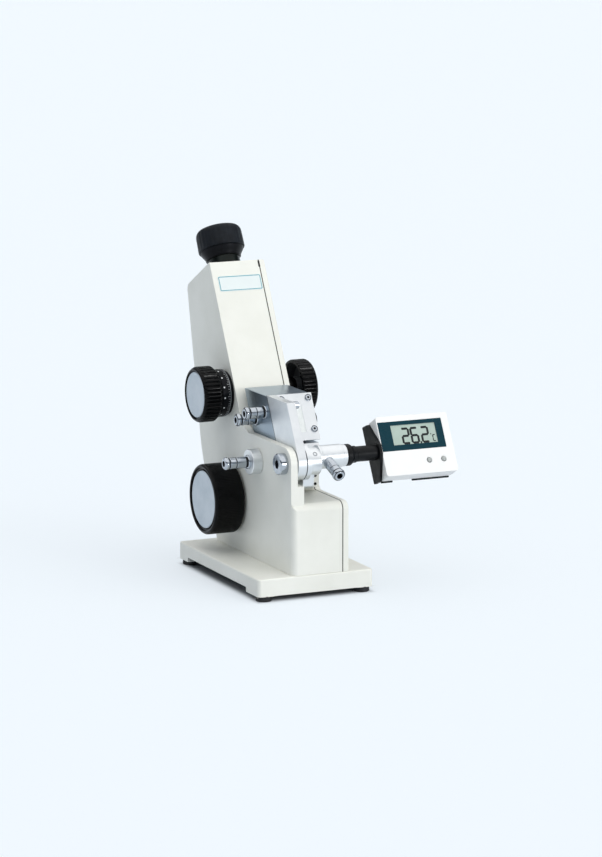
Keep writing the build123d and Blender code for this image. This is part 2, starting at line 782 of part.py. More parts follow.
with BuildPart() as index_knob:
    knob_length = index_knob_root - knob_face
    turned(
        along_x(knob_face, index_y, index_z),
        [(0, 2), (index_cap_radius + 0.8, 2), (index_cap_radius + 1.2, 0.6), (index_knob_radius - 2.2, 0),
         (index_knob_radius - 0.6, 0.6), (index_knob_radius, 2), (index_knob_radius, knob_length - 1.2),
         (index_knob_radius - 1.2, knob_length), (10, knob_length), (10, knob_length - 3), (0, knob_length - 3)],
    )
    rod(index_y, index_z, shaft_radius, knob_face + 6, index_knob_root, Mode.SUBTRACT)
save(index_knob, "index_knob")

with BuildPart() as index_knob_cap:
    turned(
        along_x(knob_face + 0.6, index_y, index_z),
        [(0, 0), (index_cap_radius - 0.4, 0), (index_cap_radius, 0.4), (index_cap_radius, 1.4), (0, 1.4)],
    )
save(index_knob_cap, "index_knob_cap")

with BuildPart() as index_shaft:
    rod(index_y, index_z, shaft_radius, knob_face + 6, wall_left + wall + 2.3)
    rod(index_y, index_z, pinion_radius, wall_left + wall + 2.3, -7)
save(index_shaft, "index_shaft")

with BuildPart() as arm_pivot:
    rod(pivot_y, pivot_z, 2.5, wall_left + wall - 2, 14)
save(arm_pivot, "arm_pivot")

with BuildPart() as mirror_arm:
    rod(pivot_y, pivot_z, 4.6, -13, 12.4)
    rod(pivot_y, pivot_z, sector_radius, -11.8, -7)
    slab(
        [(pivot_y - 8, pivot_z + 3), (pivot_y - 8, pivot_z + 6), (pivot_y + 8, pivot_z + 6), (pivot_y + 8, pivot_z + 3)],
        -5,
        11,
    )
    slab(
        [(pivot_y, pivot_z - 3), (pivot_y, pivot_z + 3), (pivot_y + 18, pivot_z + 3), (pivot_y + 18, pivot_z - 3)],
        9.6,
        12.4,
    )
    rod(pivot_y, pivot_z, 2.5 + running, -13, 12.4, Mode.SUBTRACT)
save(mirror_arm, "mirror_arm")

with BuildPart() as swing_mirror:
    slab(
        [(pivot_y - 8, pivot_z + 6), (pivot_y - 8, pivot_z + 8), (pivot_y + 8, pivot_z + 8), (pivot_y + 8, pivot_z + 6)],
        -5,
        11,
    )
save(swing_mirror, "swing_mirror")

with BuildPart() as scale_plate:
    with BuildSketch(Plane.YZ.offset(12.4)):
        with Locations((pivot_y, pivot_z)):
            Circle(30)
            Circle(13, mode=Mode.SUBTRACT)
        with BuildLine():
            Polyline((pivot_y, pivot_z), (pivot_y + 60, pivot_z + 34), (pivot_y + 60, pivot_z - 34), close=True)
        make_face(mode=Mode.INTERSECT)
    extrude(amount=1.5)
save(scale_plate, "scale_plate")

# Compensator drive: one shaft through the column, a knob on each end, a worm that turns the prism cells.
with BuildPart() as compensator_shaft:
    rod(shaft_y, shaft_z, shaft_radius, knob_face + 5, right_knob_face - 3)
    rod(shaft_y, shaft_z, worm_radius, optic_x - 7, optic_x + 7)
save(compensator_shaft, "compensator_shaft")

with BuildPart() as compensator_bushes:
    turned(
        along_x(wall_left, shaft_y, shaft_z),
        [(shaft_radius + running, -1.6), (15.8, -1.6), (16.4, -1), (16.4, 0), (6, 0), (6, wall + 2),
         (shaft_radius + running, wall + 2)],
    )
    turned(
        along_x(seam, shaft_y, shaft_z),
        [(shaft_radius + running, -2), (6, -2), (6, 5.2), (11, 5.2), (11, 6.2), (shaft_radius + running, 6.2)],
    )
save(compensator_bushes, "compensator_bushes")

with BuildPart() as dispersion_knob:
    turned(
        along_x(knob_face, shaft_y, shaft_z),
        [(0, 2), (dispersion_cap_radius + 0.6, 2), (dispersion_cap_radius + 0.9, 0.5), (dispersion_radius - 2.4, 0),
         (dispersion_radius, 2.2), (dispersion_radius, 12.7), (18.2, 15.5), (0, 15.5)],
    )
    rod(shaft_y, shaft_z, shaft_radius, knob_face + 5, knob_face + 15.5, Mode.SUBTRACT)
save(dispersion_knob, "dispersion_knob")

with BuildPart() as dispersion_knob_cap:
    turned(
        along_x(knob_face + 0.5, shaft_y, shaft_z),
        [(0, 0), (dispersion_cap_radius - 0.4, 0), (dispersion_cap_radius, 0.4), (dispersion_cap_radius, 1.5), (0, 1.5)],
    )
save(dispersion_knob_cap, "dispersion_knob_cap")

with BuildPart() as dispersion_scale_ring:
    turned(
        along_x(knob_face + 15.5, shaft_y, shaft_z),
        [(shaft_radius, 0), (17.8, 0), (17.8, 7.2), (17.2, 7.6), (8, 7.6), (8, 5), (shaft_radius, 5)],
    )
save(dispersion_scale_ring, "dispersion_scale_ring")

with BuildPart() as right_knob:
    turned(
        along_x(right_knob_face, shaft_y, shaft_z),
        [(0, 0), (dispersion_radius - 2.4, 0), (dispersion_radius, -2.2), (dispersion_radius, -12.7),
         (dispersion_radius - 2.6, -12.7), (dispersion_radius - 3.4, -3.6), (8.5, -3.6), (7, -20.8), (0, -20.8)],
    )
    rod(shaft_y, shaft_z, shaft_radius, cover_face, right_knob_face - 3, Mode.SUBTRACT)
save(right_knob, "right_knob")

with BuildPart() as telescope_barrel:
    turned(
        amici_plane,
        [(wheel_radius + running, -18), (11, -18), (11, 26), (9.4, 28), (9.4, 62), (8, 62), (8, 26),
         (wheel_radius + running, 24)],
    )
    for height in (-10, 44):
        with BuildSketch(amici_plane.offset(height - 3)):
            with Locations(((wall_left + wall - optic_x) / 2, 0)):
                Rectangle(optic_x - wall_left - wall, 6)
        extrude(amount=6)
    barrel_bore = wheel_radius + running
    turned(
        amici_plane,
        [(0, -20), (barrel_bore, -20), (barrel_bore, 24), (8, 26), (8, 70), (0, 70)],
        Mode.SUBTRACT,
    )
    rod(shaft_y, shaft_z, worm_radius + 0.6, optic_x - 9, optic_x + 9, Mode.SUBTRACT)
save(telescope_barrel, "telescope_barrel")

with BuildPart() as objective_lens:
    turned(amici_plane, [(0, 32), (6, 33), (8, 33), (8, 38), (0, 38.8)])
save(objective_lens, "objective_lens")

with BuildPart() as lower_amici_cell:
    turned(
        amici_plane,
        [(cell_bore, -15), (wheel_radius, -15), (wheel_radius, -12), (cell_radius, -12), (cell_radius, -1.5),
         (wheel_radius, -1.5), (wheel_radius, 1.5), (cell_bore, 1.5)],
    )
save(lower_amici_cell, "lower_amici_cell")

with BuildPart() as upper_amici_cell:
    turned(
        amici_plane,
        [(cell_bore, 5), (wheel_radius, 5), (wheel_radius, 8), (cell_radius, 8), (cell_radius, 18),
         (wheel_radius, 18), (wheel_radius, 21), (cell_bore, 21)],
    )
save(upper_amici_cell, "upper_amici_cell")

for height, name in ((-14, "lower_amici_prism"), (8, "upper_amici_prism")):
    with BuildPart() as amici_prism:
        with BuildSketch(amici_plane.offset(height)):
            Rectangle(9, 9)
        extrude(amount=12)
    save(amici_prism, name)

# Eyepiece: a fixed neck tube, a dioptre ring with its rubber cup, and a lens cell that slides in the neck.
with BuildPart() as eyepiece_tube:
    turned(
        eyepiece_plane,
        [(9.5, -wall - 3), (neck_radius, -wall - 3), (neck_radius, 13), (9.5, 13)],
    )
save(eyepiece_tube, "eyepiece_tube")

with BuildPart() as dioptre_ring:
    turned(
        eyepiece_plane,
        [(neck_radius + running, 9.6), (13.4, 9.6), (14.6, 12.5), (16.5, 15.6), (16.5, 16.6), (neck_radius + running, 16.6)],
    )
save(dioptre_ring, "dioptre_ring")

with BuildPart() as eyepiece_cup:
    turned(
        eyepiece_plane,
        [(neck_radius + 0.4, 16.6), (17.3, 16.6), (cup_radius, 17.2), (cup_radius - 0.3, 29.4), (16.6, 32),
         (14.2, 33.6), (11.6, 33.4), (10.2, 30), (9.7, 24), (neck_radius + 0.4, 20)],
    )
save(eyepiece_cup, "eyepiece_cup")

with BuildPart() as lens_cell:
    turned(
        eyepiece_plane,
        [(7, 0), (9.5 - running, 0), (9.5 - running, 22), (7, 22)],
    )
save(lens_cell, "lens_cell")

with BuildPart() as eye_lens:
    turned(eyepiece_plane, [(0, 15), (5, 15.6), (7, 16.4), (7, 19.6), (5, 20.4), (0, 21)])
save(eye_lens, "eye_lens")
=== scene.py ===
import math

import bmesh
import bpy
from mathutils import Matrix, Vector


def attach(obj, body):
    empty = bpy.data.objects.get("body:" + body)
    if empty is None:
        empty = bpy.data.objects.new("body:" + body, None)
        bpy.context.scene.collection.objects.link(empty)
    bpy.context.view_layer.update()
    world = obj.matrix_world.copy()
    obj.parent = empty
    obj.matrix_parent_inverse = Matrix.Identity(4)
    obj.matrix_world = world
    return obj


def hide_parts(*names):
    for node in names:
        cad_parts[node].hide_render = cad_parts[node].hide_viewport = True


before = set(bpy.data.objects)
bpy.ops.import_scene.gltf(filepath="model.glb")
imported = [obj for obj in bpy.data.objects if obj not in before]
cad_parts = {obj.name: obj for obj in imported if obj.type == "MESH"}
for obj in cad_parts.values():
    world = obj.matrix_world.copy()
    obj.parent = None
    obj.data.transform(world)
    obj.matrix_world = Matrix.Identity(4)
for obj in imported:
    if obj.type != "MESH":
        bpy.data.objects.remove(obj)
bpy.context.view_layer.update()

# Studio: a pale floor in a light room, with a soft key light and a narrow strip light from the front right,
# as the instrument was photographed. The camera stands a little to the left and looks slightly down.


def tint(code):
    """An sRGB hex colour as linear red, green, blue and alpha."""
    shares = [int(code[i : i + 2], 16) / 255 for i in (1, 3, 5)]
    return tuple(s / 12.92 if s <= 0.04045 else ((s + 0.055) / 1.055) ** 2.4 for s in shares) + (1.0,)


def add_node(tree, kind, settings=None, links=None):
    """Adds a node to a tree: settings are properties or input values, links are {input: (node, output)}."""
    node = tree.nodes.new("ShaderNode" + kind)
    for key, value in (settings or {}).items():
        if isinstance(key, str) and hasattr(node, key):
            setattr(node, key, value)
        else:
            node.inputs[key].default_value = value
    for socket, (source, output) in (links or {}).items():
        tree.links.new(source.outputs[output], node.inputs[socket])
    return node


def directly_seen(tree):
    """1 for rays from the camera and for those mirrored or passed on by metal and glass, otherwise 0."""
    ray = add_node(tree, "LightPath")
    mirrored = add_node(
        tree, "Math", {"operation": "MAXIMUM"}, {0: (ray, "Is Camera Ray"), 1: (ray, "Is Glossy Ray")}
    )
    return add_node(
        tree, "Math", {"operation": "MAXIMUM"}, {0: (mirrored, 0), 1: (ray, "Is Transmission Ray")}
    )


def towards(azimuth, elevation):
    """The direction from the instrument to a place round it, by its azimuth and elevation in degrees."""
    azimuth, elevation = math.radians(azimuth), math.radians(elevation)
    return Vector(
        (
            math.sin(azimuth) * math.cos(elevation),
            -math.cos(azimuth) * math.cos(elevation),
            math.sin(elevation),
        )
    )


scene = bpy.context.scene
scene.view_settings.view_transform = "Standard"

camera_distance = 2.764
target = Vector((0.0216, 0, 0.1104))
towards_camera = towards(-24.61, 10.5)
camera_data = bpy.data.cameras.new("camera")
camera_data.sensor_width = 36
camera_data.lens = 157.1
camera_data.clip_end = 60
camera = bpy.data.objects.new("camera", camera_data)
camera.location = target + towards_camera * camera_distance
camera.rotation_euler = (-towards_camera).to_track_quat("-Z", "Y").to_euler()
scene.collection.objects.link(camera)
scene.camera = camera

world = bpy.data.worlds.new("studio_room")
scene.world = world
world.use_nodes = True
room = world.node_tree
room.nodes.clear()
direction = add_node(room, "TexCoord")
height = add_node(room, "SeparateXYZ", links={0: (direction, "Generated")})
# By height above the horizon: first the light on matt surfaces, then what the camera, metal and glass see.
skies = []
for strength, stops in (
    (1.33, ((0.12, "#767C83"), (0.35, "#9DA3AA"), (0.7, "#C9CCCF"), (0.9, "#FFFFFF"))),
    (1.3, ((0.15, "#D8DFE6"), (0.2, "#41474E"), (0.4, "#2C3035"), (0.48, "#B9C1CA"), (0.56, "#FFFFFF"))),
):
    shade = add_node(room, "ValToRGB", links={0: (height, "Z")})
    for position, code in stops:
        shade.color_ramp.elements.new(position).color = tint(code)
    shade.color_ramp.elements.remove(shade.color_ramp.elements[0])
    shade.color_ramp.elements.remove(shade.color_ramp.elements[-1])
    skies.append(add_node(room, "Background", {"Strength": strength}, {"Color": (shade, "Color")}))
seen = add_node(room, "MixShader", links={0: (directly_seen(room), 0), 1: (skies[0], 0), 2: (skies[1], 0)})
add_node(room, "OutputWorld", links={"Surface": (seen, "Shader")})

for name, azimuth, elevation, strength, spread, code, mirrored in (
    ("key_light", 32, 10, 1.38, 80, "#FFFDF8", False),
    ("front_strip", 25, 6, 0.5, 8, "#FFFFFF", True),
):
    lamp = bpy.data.lights.new(name, "SUN")
    lamp.energy = strength
    lamp.angle = math.radians(spread)
    lamp.color = tint(code)[:3]
    lamp_object = bpy.data.objects.new(name, lamp)
    lamp_object.rotation_euler = towards(azimuth, elevation).to_track_quat("Z", "Y").to_euler()
    # Metal mirrors the bright room in place of the wide key light, which would wash it out.
    lamp_object.visible_glossy = mirrored
    scene.collection.objects.link(lamp_object)

floor_material = bpy.data.materials.new("matt_studio_paper")
floor_material.use_nodes = True
paper = floor_material.node_tree
# The paper also glows, which only the camera, metal and glass see. That thins the shadow on it, but the glow
# is left out in a soft rectangle round the base, 92 by 147 mm: painted shadow, deep under it and fading
# beside it.
paper_seen = directly_seen(paper)
paper_place = add_node(paper, "SeparateXYZ", links={0: (add_node(paper, "TexCoord"), "Object")})
shares = []
for axis, half_size in (("X", 0.046), ("Y", 0.0735)):
    share = add_node(paper, "Math", {"operation": "DIVIDE", 1: half_size}, {0: (paper_place, axis)})
    shares.append(add_node(paper, "Math", {"operation": "ABSOLUTE"}, {0: (share, 0)}))
outside = add_node(paper, "Math", {"operation": "MAXIMUM"}, {0: (shares[0], 0), 1: (shares[1], 0)})
painted_shadow_full_to, painted_shadow_gone_at, paper_glow_strength = 0.88, 1.06, 0.5
glow_outside_painted_shadow = add_node(
    paper,
    "MapRange",
    {
        "interpolation_type": "SMOOTHSTEP",
        "From Min": painted_shadow_full_to,
        "From Max": painted_shadow_gone_at,
        "To Min": 0.0,
        "To Max": paper_glow_strength,
    },
    {"Value": (outside, 0)},
)
sheet_colour = add_node(
    paper, "Mix", {"data_type": "RGBA", 6: tint("#C4CBD3"), 7: tint("#AEB4B8")}, {0: (paper_seen, 0)}
)
painted_paper_glow = add_node(
    paper, "Math", {"operation": "MULTIPLY"}, {0: (paper_seen, 0), 1: (glow_outside_painted_shadow, "Result")}
)
paper_shader = paper.nodes["Principled BSDF"]
paper_shader.inputs["Emission Color"].default_value = tint("#F1F7FD")
paper_shader.inputs["Roughness"].default_value = 0.9
paper.links.new(sheet_colour.outputs[2], paper_shader.inputs["Base Color"])
paper.links.new(painted_paper_glow.outputs[0], paper_shader.inputs["Emission Strength"])
floor_bm = bmesh.new()
floor_half_width = 30
bmesh.ops.create_grid(floor_bm, x_segments=1, y_segments=1, size=floor_half_width)
floor_mesh = bpy.data.meshes.new("floor")
floor_bm.to_mesh(floor_mesh)
floor_bm.free()
floor_mesh.materials.append(floor_material)
floor = bpy.data.objects.new("floor", floor_mesh)
scene.collection.objects.link(floor)

# Base plate: a flat iron casting on four pads, stoved in the same cream enamel as the column.
# Its corners and top edge are rounded by the mould, and a shallow channel runs across underneath.

MM = 0.001


def new_material(name, colour, roughness, metallic=0.0, specular=0.5):
    """A named material with its plain values set, and its shader."""
    material = bpy.data.materials.new(name)
    material.use_nodes = True
    shader = material.node_tree.nodes["Principled BSDF"]
    shader.inputs["Base Color"].default_value = tint(colour)
    shader.inputs["Roughness"].default_value = roughness
    shader.inputs["Metallic"].default_value = metallic
    shader.inputs["Specular IOR Level"].default_value = specular
    return material, material.node_tree, shader


def mottle(material, pale, deep, patch, spread, grain, height, roughness, stretch=(1, 1, 1)):
    """Uneven colour and gloss in patches, and a fine bump: patch and grain in mm, height in mm."""
    material, tree, shader = material
    place = add_node(tree, "TexCoord")
    stretched = add_node(tree, "Mapping", {"Scale": stretch}, {"Vector": (place, "Object")})
    clouds = add_node(
        tree,
        "TexNoise",
        {"Scale": 1 / (patch * MM), "Detail": 4.0, "Roughness": 0.6},
        {"Vector": (place, "Object")},
    )
    narrow = add_node(
        tree,
        "MapRange",
        {"From Min": 0.5 - spread, "From Max": 0.5 + spread, "To Min": 0.0, "To Max": 1.0},
        {"Value": (clouds, 0)},
    )
    colours = add_node(
        tree, "Mix", {"data_type": "RGBA", 6: tint(pale), 7: tint(deep)}, {0: (narrow, "Result")}
    )
    tree.links.new(colours.outputs[2], shader.inputs["Base Color"])
    gloss = add_node(
        tree,
        "MapRange",
        {"From Min": 0.3, "From Max": 0.7, "To Min": roughness[0], "To Max": roughness[1]},
        {"Value": (clouds, 0)},
    )
    tree.links.new(gloss.outputs["Result"], shader.inputs["Roughness"])
    fine = add_node(
        tree,
        "TexNoise",
        {"Scale": 1 / (grain * MM), "Detail": 3.0, "Roughness": 0.55},
        {"Vector": (stretched, "Vector")},
    )
    bump = add_node(
        tree, "Bump", {"Strength": 1.0, "Distance": height * MM}, {"Height": (fine, 0)}
    )
    tree.links.new(bump.outputs["Normal"], shader.inputs["Normal"])
    return material


def soften(bm, width, clamp=True):
    """Rounds the edges that turn sharply.

    Clamping narrows all of them to suit the closest two. Without it, close edges can throw out thin faces.
    """
    least_turn = math.radians(28)
    sharp = [e for e in bm.edges if e.is_manifold and e.calc_face_angle(0) > least_turn]
    bmesh.ops.bevel(
        bm,
        geom=sharp,
        offset=width,
        offset_type="OFFSET",
        segments=2,
        profile=0.5,
        affect="EDGES",
        clamp_overlap=clamp,
        material=-1,
    )
    return bm


def node_copy(node):
    """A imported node's mesh in mm, merged into whole faces."""
    same_point, same_face = 0.002, math.radians(0.4)
    bm = bmesh.new()
    bm.from_mesh(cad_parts[node].data)
    bmesh.ops.scale(bm, vec=(1 / MM, 1 / MM, 1 / MM), verts=bm.verts)
    bmesh.ops.remove_doubles(bm, verts=bm.verts, dist=same_point)
    bmesh.ops.dissolve_limit(bm, angle_limit=same_face, verts=bm.verts, edges=bm.edges)
    return bm


def lean_normals(mesh, angle):
    """Corner normals led by the wider faces, which keeps flat faces flat up to their rounded edges."""
    around = [[] for _ in mesh.vertices]
    faces = [(face.normal.copy(), face.area) for face in mesh.polygons]
    for face in mesh.polygons:
        for vertex in face.vertices:
            around[vertex].append(faces[face.index])
    corners = []
    for face in mesh.polygons:
        for vertex in face.vertices:
            total = Vector()
            for normal, area in around[vertex]:
                if normal.dot(faces[face.index][0]) > math.cos(angle):
                    total += normal * area
            corners.append(total.normalized())
    mesh.normals_split_custom_set(corners)


def finish_piece(bm, name, material, body, nodes=(), place=None):
    """Puts a mesh made in mm in its place, smooths its shallow edges, and hangs it on its body."""
    smooth_turn = math.radians(32)
    if place is not None:
        bmesh.ops.transform(bm, matrix=place, verts=bm.verts)
    bmesh.ops.scale(bm, vec=(MM, MM, MM), verts=bm.verts)
    mesh = bpy.data.meshes.new(name)
    bm.to_mesh(mesh)
    bm.free()
    mesh.shade_smooth()
    mesh.set_sharp_from_angle(angle=smooth_turn)
    lean_normals(mesh, smooth_turn)
    for each in material if isinstance(material, (list, tuple)) else [material]:
        mesh.materials.append(each)
    piece = bpy.data.objects.new(name, mesh)
    scene.collection.objects.link(piece)
    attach(piece, body)
    if nodes:
        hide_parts(*nodes)
    return piece


# Stoved enamel on cast metal: warm off-white, an even satin gloss with a faint orange-peel surface.
cream_enamel = mottle(
    new_material("stoved_cream_enamel", "#F0F0E8", 0.42),
    "#F2F2EA",
    "#ECECE3",
    patch=38,
    spread=0.16,
    grain=1.1,
    height=0.018,
    roughness=(0.36, 0.48),
)
# Painted shade: every face of the base that looks down is painted near black, so the channel between the
# pads and the gap under the base stay dark.
underside_painted_shade = mottle(
    new_material("underside_painted_shade_black", "#0D0E10", 0.6, specular=0.3),
    "#121315",
    "#090A0B",
    patch=14,
    spread=0.2,
    grain=0.6,
    height=0.02,
    roughness=(0.5, 0.7),
)
base_plate = soften(node_copy("base_plate"), 0.4, clamp=False)
base_plate.normal_update()
downwards = -0.7
# The downward faces take the near-black painted shade.
for face in base_plate.faces:
    if face.normal.z < downwards:
        face.material_index = 1
finish_piece(
    base_plate, "base_plate_enamel", [cream_enamel, underside_painted_shade], "stand", ["base_plate"]
)

# Feet: four moulded rubber buttons pressed into pockets in the pads, dished underneath so that they grip.
# The base screws sit deep in the channel and hold the housing down from below.


def set_at(origin, across, out):
    """The place, in mm, of a shape whose own X runs along across and whose own Z runs along out."""
    across, out = Vector(across).normalized(), Vector(out).normalized()
    turn = Matrix((across, out.cross(across), out)).transposed()
    return Matrix.Translation(Vector(origin)) @ turn.to_4x4()


def facing_right(x, y, z):
    """The place, in mm, of a shape whose own Z runs to the right."""
    return set_at((x, y, z), (0, 1, 0), (1, 0, 0))


def facing_left(x, y, z):
    """The place, in mm, of a shape whose own Z runs to the left."""
    return set_at((x, y, z), (0, 1, 0), (-1, 0, 0))


def turned(profile, steps=96):
    """A profile of (radius, height) in mm, spun about the shape's own Z."""
    bm = bmesh.new()
    points = [bm.verts.new((radius, 0, height)) for radius, height in profile]
    edges = [bm.edges.new(pair) for pair in zip(points, points[1:])]
    bmesh.ops.spin(
        bm,
        geom=points + edges,
        cent=(0, 0, 0),
        axis=(0, 0, 1),
        angle=2 * math.pi,
        steps=steps,
        use_merge=True,
    )
    bmesh.ops.remove_doubles(bm, verts=bm.verts, dist=0.0005)
    bmesh.ops.recalc_face_normals(bm, faces=bm.faces)
    return bm


def joined(shapes):
    """Several shapes as one, each moved to its own place."""
    whole = bmesh.new()
    for shape, place in shapes:
        bmesh.ops.transform(shape, matrix=place, verts=shape.verts)
        mesh = bpy.data.meshes.new("shape")
        shape.to_mesh(mesh)
        shape.free()
        whole.from_mesh(mesh)
        bpy.data.meshes.remove(mesh)
    return whole


def dress(material, *nodes):
    """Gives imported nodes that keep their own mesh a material."""
    for node in nodes:
        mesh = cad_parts[node].data
        mesh.materials.clear()
        mesh.materials.append(material)


# Moulded nitrile rubber: near black and dull, with the fine grain of the mould and dusty patches.
foot_rubber = mottle(
    new_material("moulded_nitrile_rubber", "#1B1C1E", 0.7),
    "#202123",
    "#151618",
    patch=5,
    spread=0.2,
    grain=0.4,
    height=0.02,
    roughness=(0.6, 0.8),
)
foot_profile = [(0, 0.6), (3.2, 0.6), (3.6, 0), (5.4, 0), (6, 0.6), (5.7, 4), (5.7, 6), (0, 6)]
foot_places = [Matrix.Translation((x, y, 0)) for x in (-39, 39) for y in (-67.5, 67.5)]
finish_piece(
    joined([(soften(turned(foot_profile, 48), 0.2), place) for place in foot_places]),
    "moulded_rubber_feet",
    foot_rubber,
    "stand",
    ["rubber_feet"],
)

# Zinc-plated steel: a grey metal with a slight bluish cloudiness from the bath.
zinc_steel = mottle(
    new_material("zinc_plated_steel", "#9FA3A8", 0.32, 1.0),
    "#B4B8BC",
    "#8E9398",
    patch=2.5,
    spread=0.2,
    grain=0.25,
    height=0.006,
    roughness=(0.24, 0.4),
)
dress(zinc_steel, "base_screws")

# Housing: a hollow casting with the hinge ear in its left wall, and a flat cover on its right side, both
# enamelled with the base. A dark line of sealant shows in the joint between them, down the column's front.

for node in ("housing_casting", "housing_cover"):
    finish_piece(
        soften(node_copy(node), 0.35, clamp=False),
        node + "_enamel",
        cream_enamel,
        "stand",
        [node],
    )

# Cured joint sealant: dark brown-grey, slightly rough where the squeezed-out bead was wiped off.
joint_sealant = mottle(
    new_material("cured_joint_sealant", "#2C2A27", 0.75),
    "#33302C",
    "#211F1D",
    patch=3,
    spread=0.2,
    grain=0.3,
    height=0.03,
    roughness=(0.65, 0.85),
)
# The bead is a slice of the cover, moved left across the joint and grown a little so that it stands proud.
seam_x, slice_width, shift, proud = 21.5, 0.75, 0.38, 0.02
seal = node_copy("housing_cover")
bmesh.ops.bisect_plane(
    seal,
    geom=seal.verts[:] + seal.edges[:] + seal.faces[:],
    plane_co=(seam_x + slice_width, 0, 0),
    plane_no=(1, 0, 0),
    clear_outer=True,
)
bmesh.ops.translate(seal, vec=(-shift, 0, 0), verts=seal.verts)
seal.normal_update()
for vertex in seal.verts:
    vertex.co += vertex.normal * proud


def block(size):
    """A box of a given size in mm, about the origin."""
    bm = bmesh.new()
    bmesh.ops.create_cube(bm, size=1)
    bmesh.ops.scale(bm, vec=size, verts=bm.verts)
    return bm


# The column's front leans back by 28 degrees: up_slope runs along it and off_slope stands out of it.
lean = math.radians(28)
up_slope = Vector((0, math.sin(lean), math.cos(lean)))
off_slope = Vector((0, -math.cos(lean), math.sin(lean)))
slope_foot = Vector((0, 16, 112))
# A small dark block with rounded corners stands on the joint near the head of the column: painted shade in
# place of a shadowed notch.
painted_notch_shade = block((1.5, 5.2, 0.7))
bmesh.ops.bevel(
    painted_notch_shade,
    geom=[e for e in painted_notch_shade.edges if abs((e.verts[0].co - e.verts[1].co).z) > 0.5],
    offset=0.5,
    segments=2,
    profile=0.5,
    affect="EDGES",
    material=-1,
)
painted_notch_shade_centre = slope_foot + up_slope * 126.6 + off_slope * -0.3 + Vector((21.3, 0, 0))
finish_piece(
    joined([(seal, Matrix()), (painted_notch_shade, set_at(painted_notch_shade_centre, (1, 0, 0), off_slope))]),
    "housing_joint_seal",
    joint_sealant,
    "stand",
)

# Label: a blank plate of thin anodised foil, glued to the head of the column, with a printed border.


def pulled(bm, geom, move):
    """Pulls a region of faces out by a vector in mm, and returns the faces that moved."""
    grown = bmesh.ops.extrude_face_region(bm, geom=geom)["geom"]
    points = [each for each in grown if isinstance(each, bmesh.types.BMVert)]
    bmesh.ops.translate(bm, vec=move, verts=points)
    return [each for each in grown if isinstance(each, bmesh.types.BMFace)]


# Printed foil: a smooth pale satin with a faint brushed grain under the lacquer.
label_foil = mottle(
    new_material("lacquered_label_foil", "#E7EFEE", 0.4),
    "#E8F0EF",
    "#E4ECEB",
    patch=16,
    spread=0.2,
    grain=0.5,
    height=0.004,
    roughness=(0.28, 0.4),
)
border_ink = mottle(
    new_material("teal_border_ink", "#5FA6B4", 0.4),
    "#68ADBA",
    "#559DAC",
    patch=3,
    spread=0.2,
    grain=0.5,
    height=0.004,
    roughness=(0.35, 0.5),
)
label = bmesh.new()
bmesh.ops.create_grid(label, x_segments=1, y_segments=1, size=0.5)
bmesh.ops.scale(label, vec=(35, 12.2, 1), verts=label.verts)
bmesh.ops.bevel(
    label, geom=label.verts[:], offset=1.4, segments=5, profile=0.5, affect="VERTICES", material=-1
)
foil_thickness, bare_rim, border_line = 0.25, 0.4, 0.65
top_face = pulled(label, label.faces[:], (0, 0, foil_thickness))
bmesh.ops.inset_region(label, faces=top_face, thickness=bare_rim, depth=0)
line = bmesh.ops.inset_region(label, faces=top_face, thickness=border_line, depth=0)
for face in line["faces"]:
    face.material_index = 1
bmesh.ops.recalc_face_normals(label, faces=label.faces)
finish_piece(
    label,
    "blank_label_plate",
    [label_foil, border_ink],
    "stand",
    place=set_at(slope_foot + up_slope * 112.3 + Vector((3.1, 0, 0)), (1, 0, 0), off_slope),
)

# Cover fittings: countersunk cross-head screws, a frosted scale window in a black bezel, and the
# brass calibration screw in its hole.

finish_piece(
    soften(node_copy("cover_screws"), 0.12),
    "countersunk_cover_screws",
    zinc_steel,
    "stand",
    ["cover_screws"],
)


def let_through(material, share, index):
    """Makes a material pass on a share of the light, bent by its refractive index."""
    shader = material.node_tree.nodes["Principled BSDF"]
    shader.inputs["Transmission Weight"].default_value = share
    shader.inputs["IOR"].default_value = index


# Ground glass: the sand-blasted face scatters light, so it looks milky and hides what lies behind it.
ground_glass = mottle(
    new_material("sand_blasted_glass", "#F2F5F4", 0.55),
    "#F4F7F6",
    "#EAEFED",
    patch=4,
    spread=0.2,
    grain=0.25,
    height=0.02,
    roughness=(0.5, 0.65),
)
let_through(ground_glass, 0.08, 1.52)

# Injection-moulded black ABS: the tool is spark eroded, which leaves a fine even grain and a dull sheen.
black_abs = mottle(
    new_material("grained_black_abs", "#07090C", 0.38, specular=0.2),
    "#0A0C10",
    "#050709",
    patch=6,
    spread=0.2,
    grain=0.35,
    height=0.02,
    roughness=(0.36, 0.5),
)
scale_window = turned(
    [(0, 1), (5.5, 1), (5.5, 5.2), (6.5, 5.2), (6.3, 6.2), (4.6, 6.2), (4.4, 4.6), (2.5, 5.0), (0, 5.2)],
    48,
)
pane_radius = 4.3
for face in scale_window.faces:
    if face.calc_center_median().xy.length > pane_radius:
        face.material_index = 1
finish_piece(
    soften(scale_window, 0.1),
    "frosted_scale_window",
    [ground_glass, black_abs],
    "stand",
    ["scale_window"],
    place=facing_right(seam_x, 49, 62),
)

# Free-cutting brass: warm yellow, dulled unevenly by handling.
dull_brass = mottle(
    new_material("free_cutting_brass", "#B69A58", 0.35, 1.0),
    "#C4A864",
    "#96803F",
    patch=3,
    spread=0.2,
    grain=0.3,
    height=0.006,
    roughness=(0.26, 0.46),
)
dress(dull_brass, "calibration_screw")

# Fixed half of the prism box: an aluminium block bolted to the slanted wall, with a round nose that takes
# the hinge bolt. It is milled, lapped to a fine satin and clear anodised. A set screw pins the nose.

# Clear-anodised aluminium, blasted before the bath: an even blue-grey satin.
satin_aluminium = mottle(
    new_material("clear_anodised_aluminium", "#9CAAB6", 0.42, 1.0),
    "#A2AFBA",
    "#95A4B1",
    patch=22,
    spread=0.3,
    grain=0.3,
    height=0.005,
    roughness=(0.29, 0.35),
    stretch=(0.12, 1, 1),
)
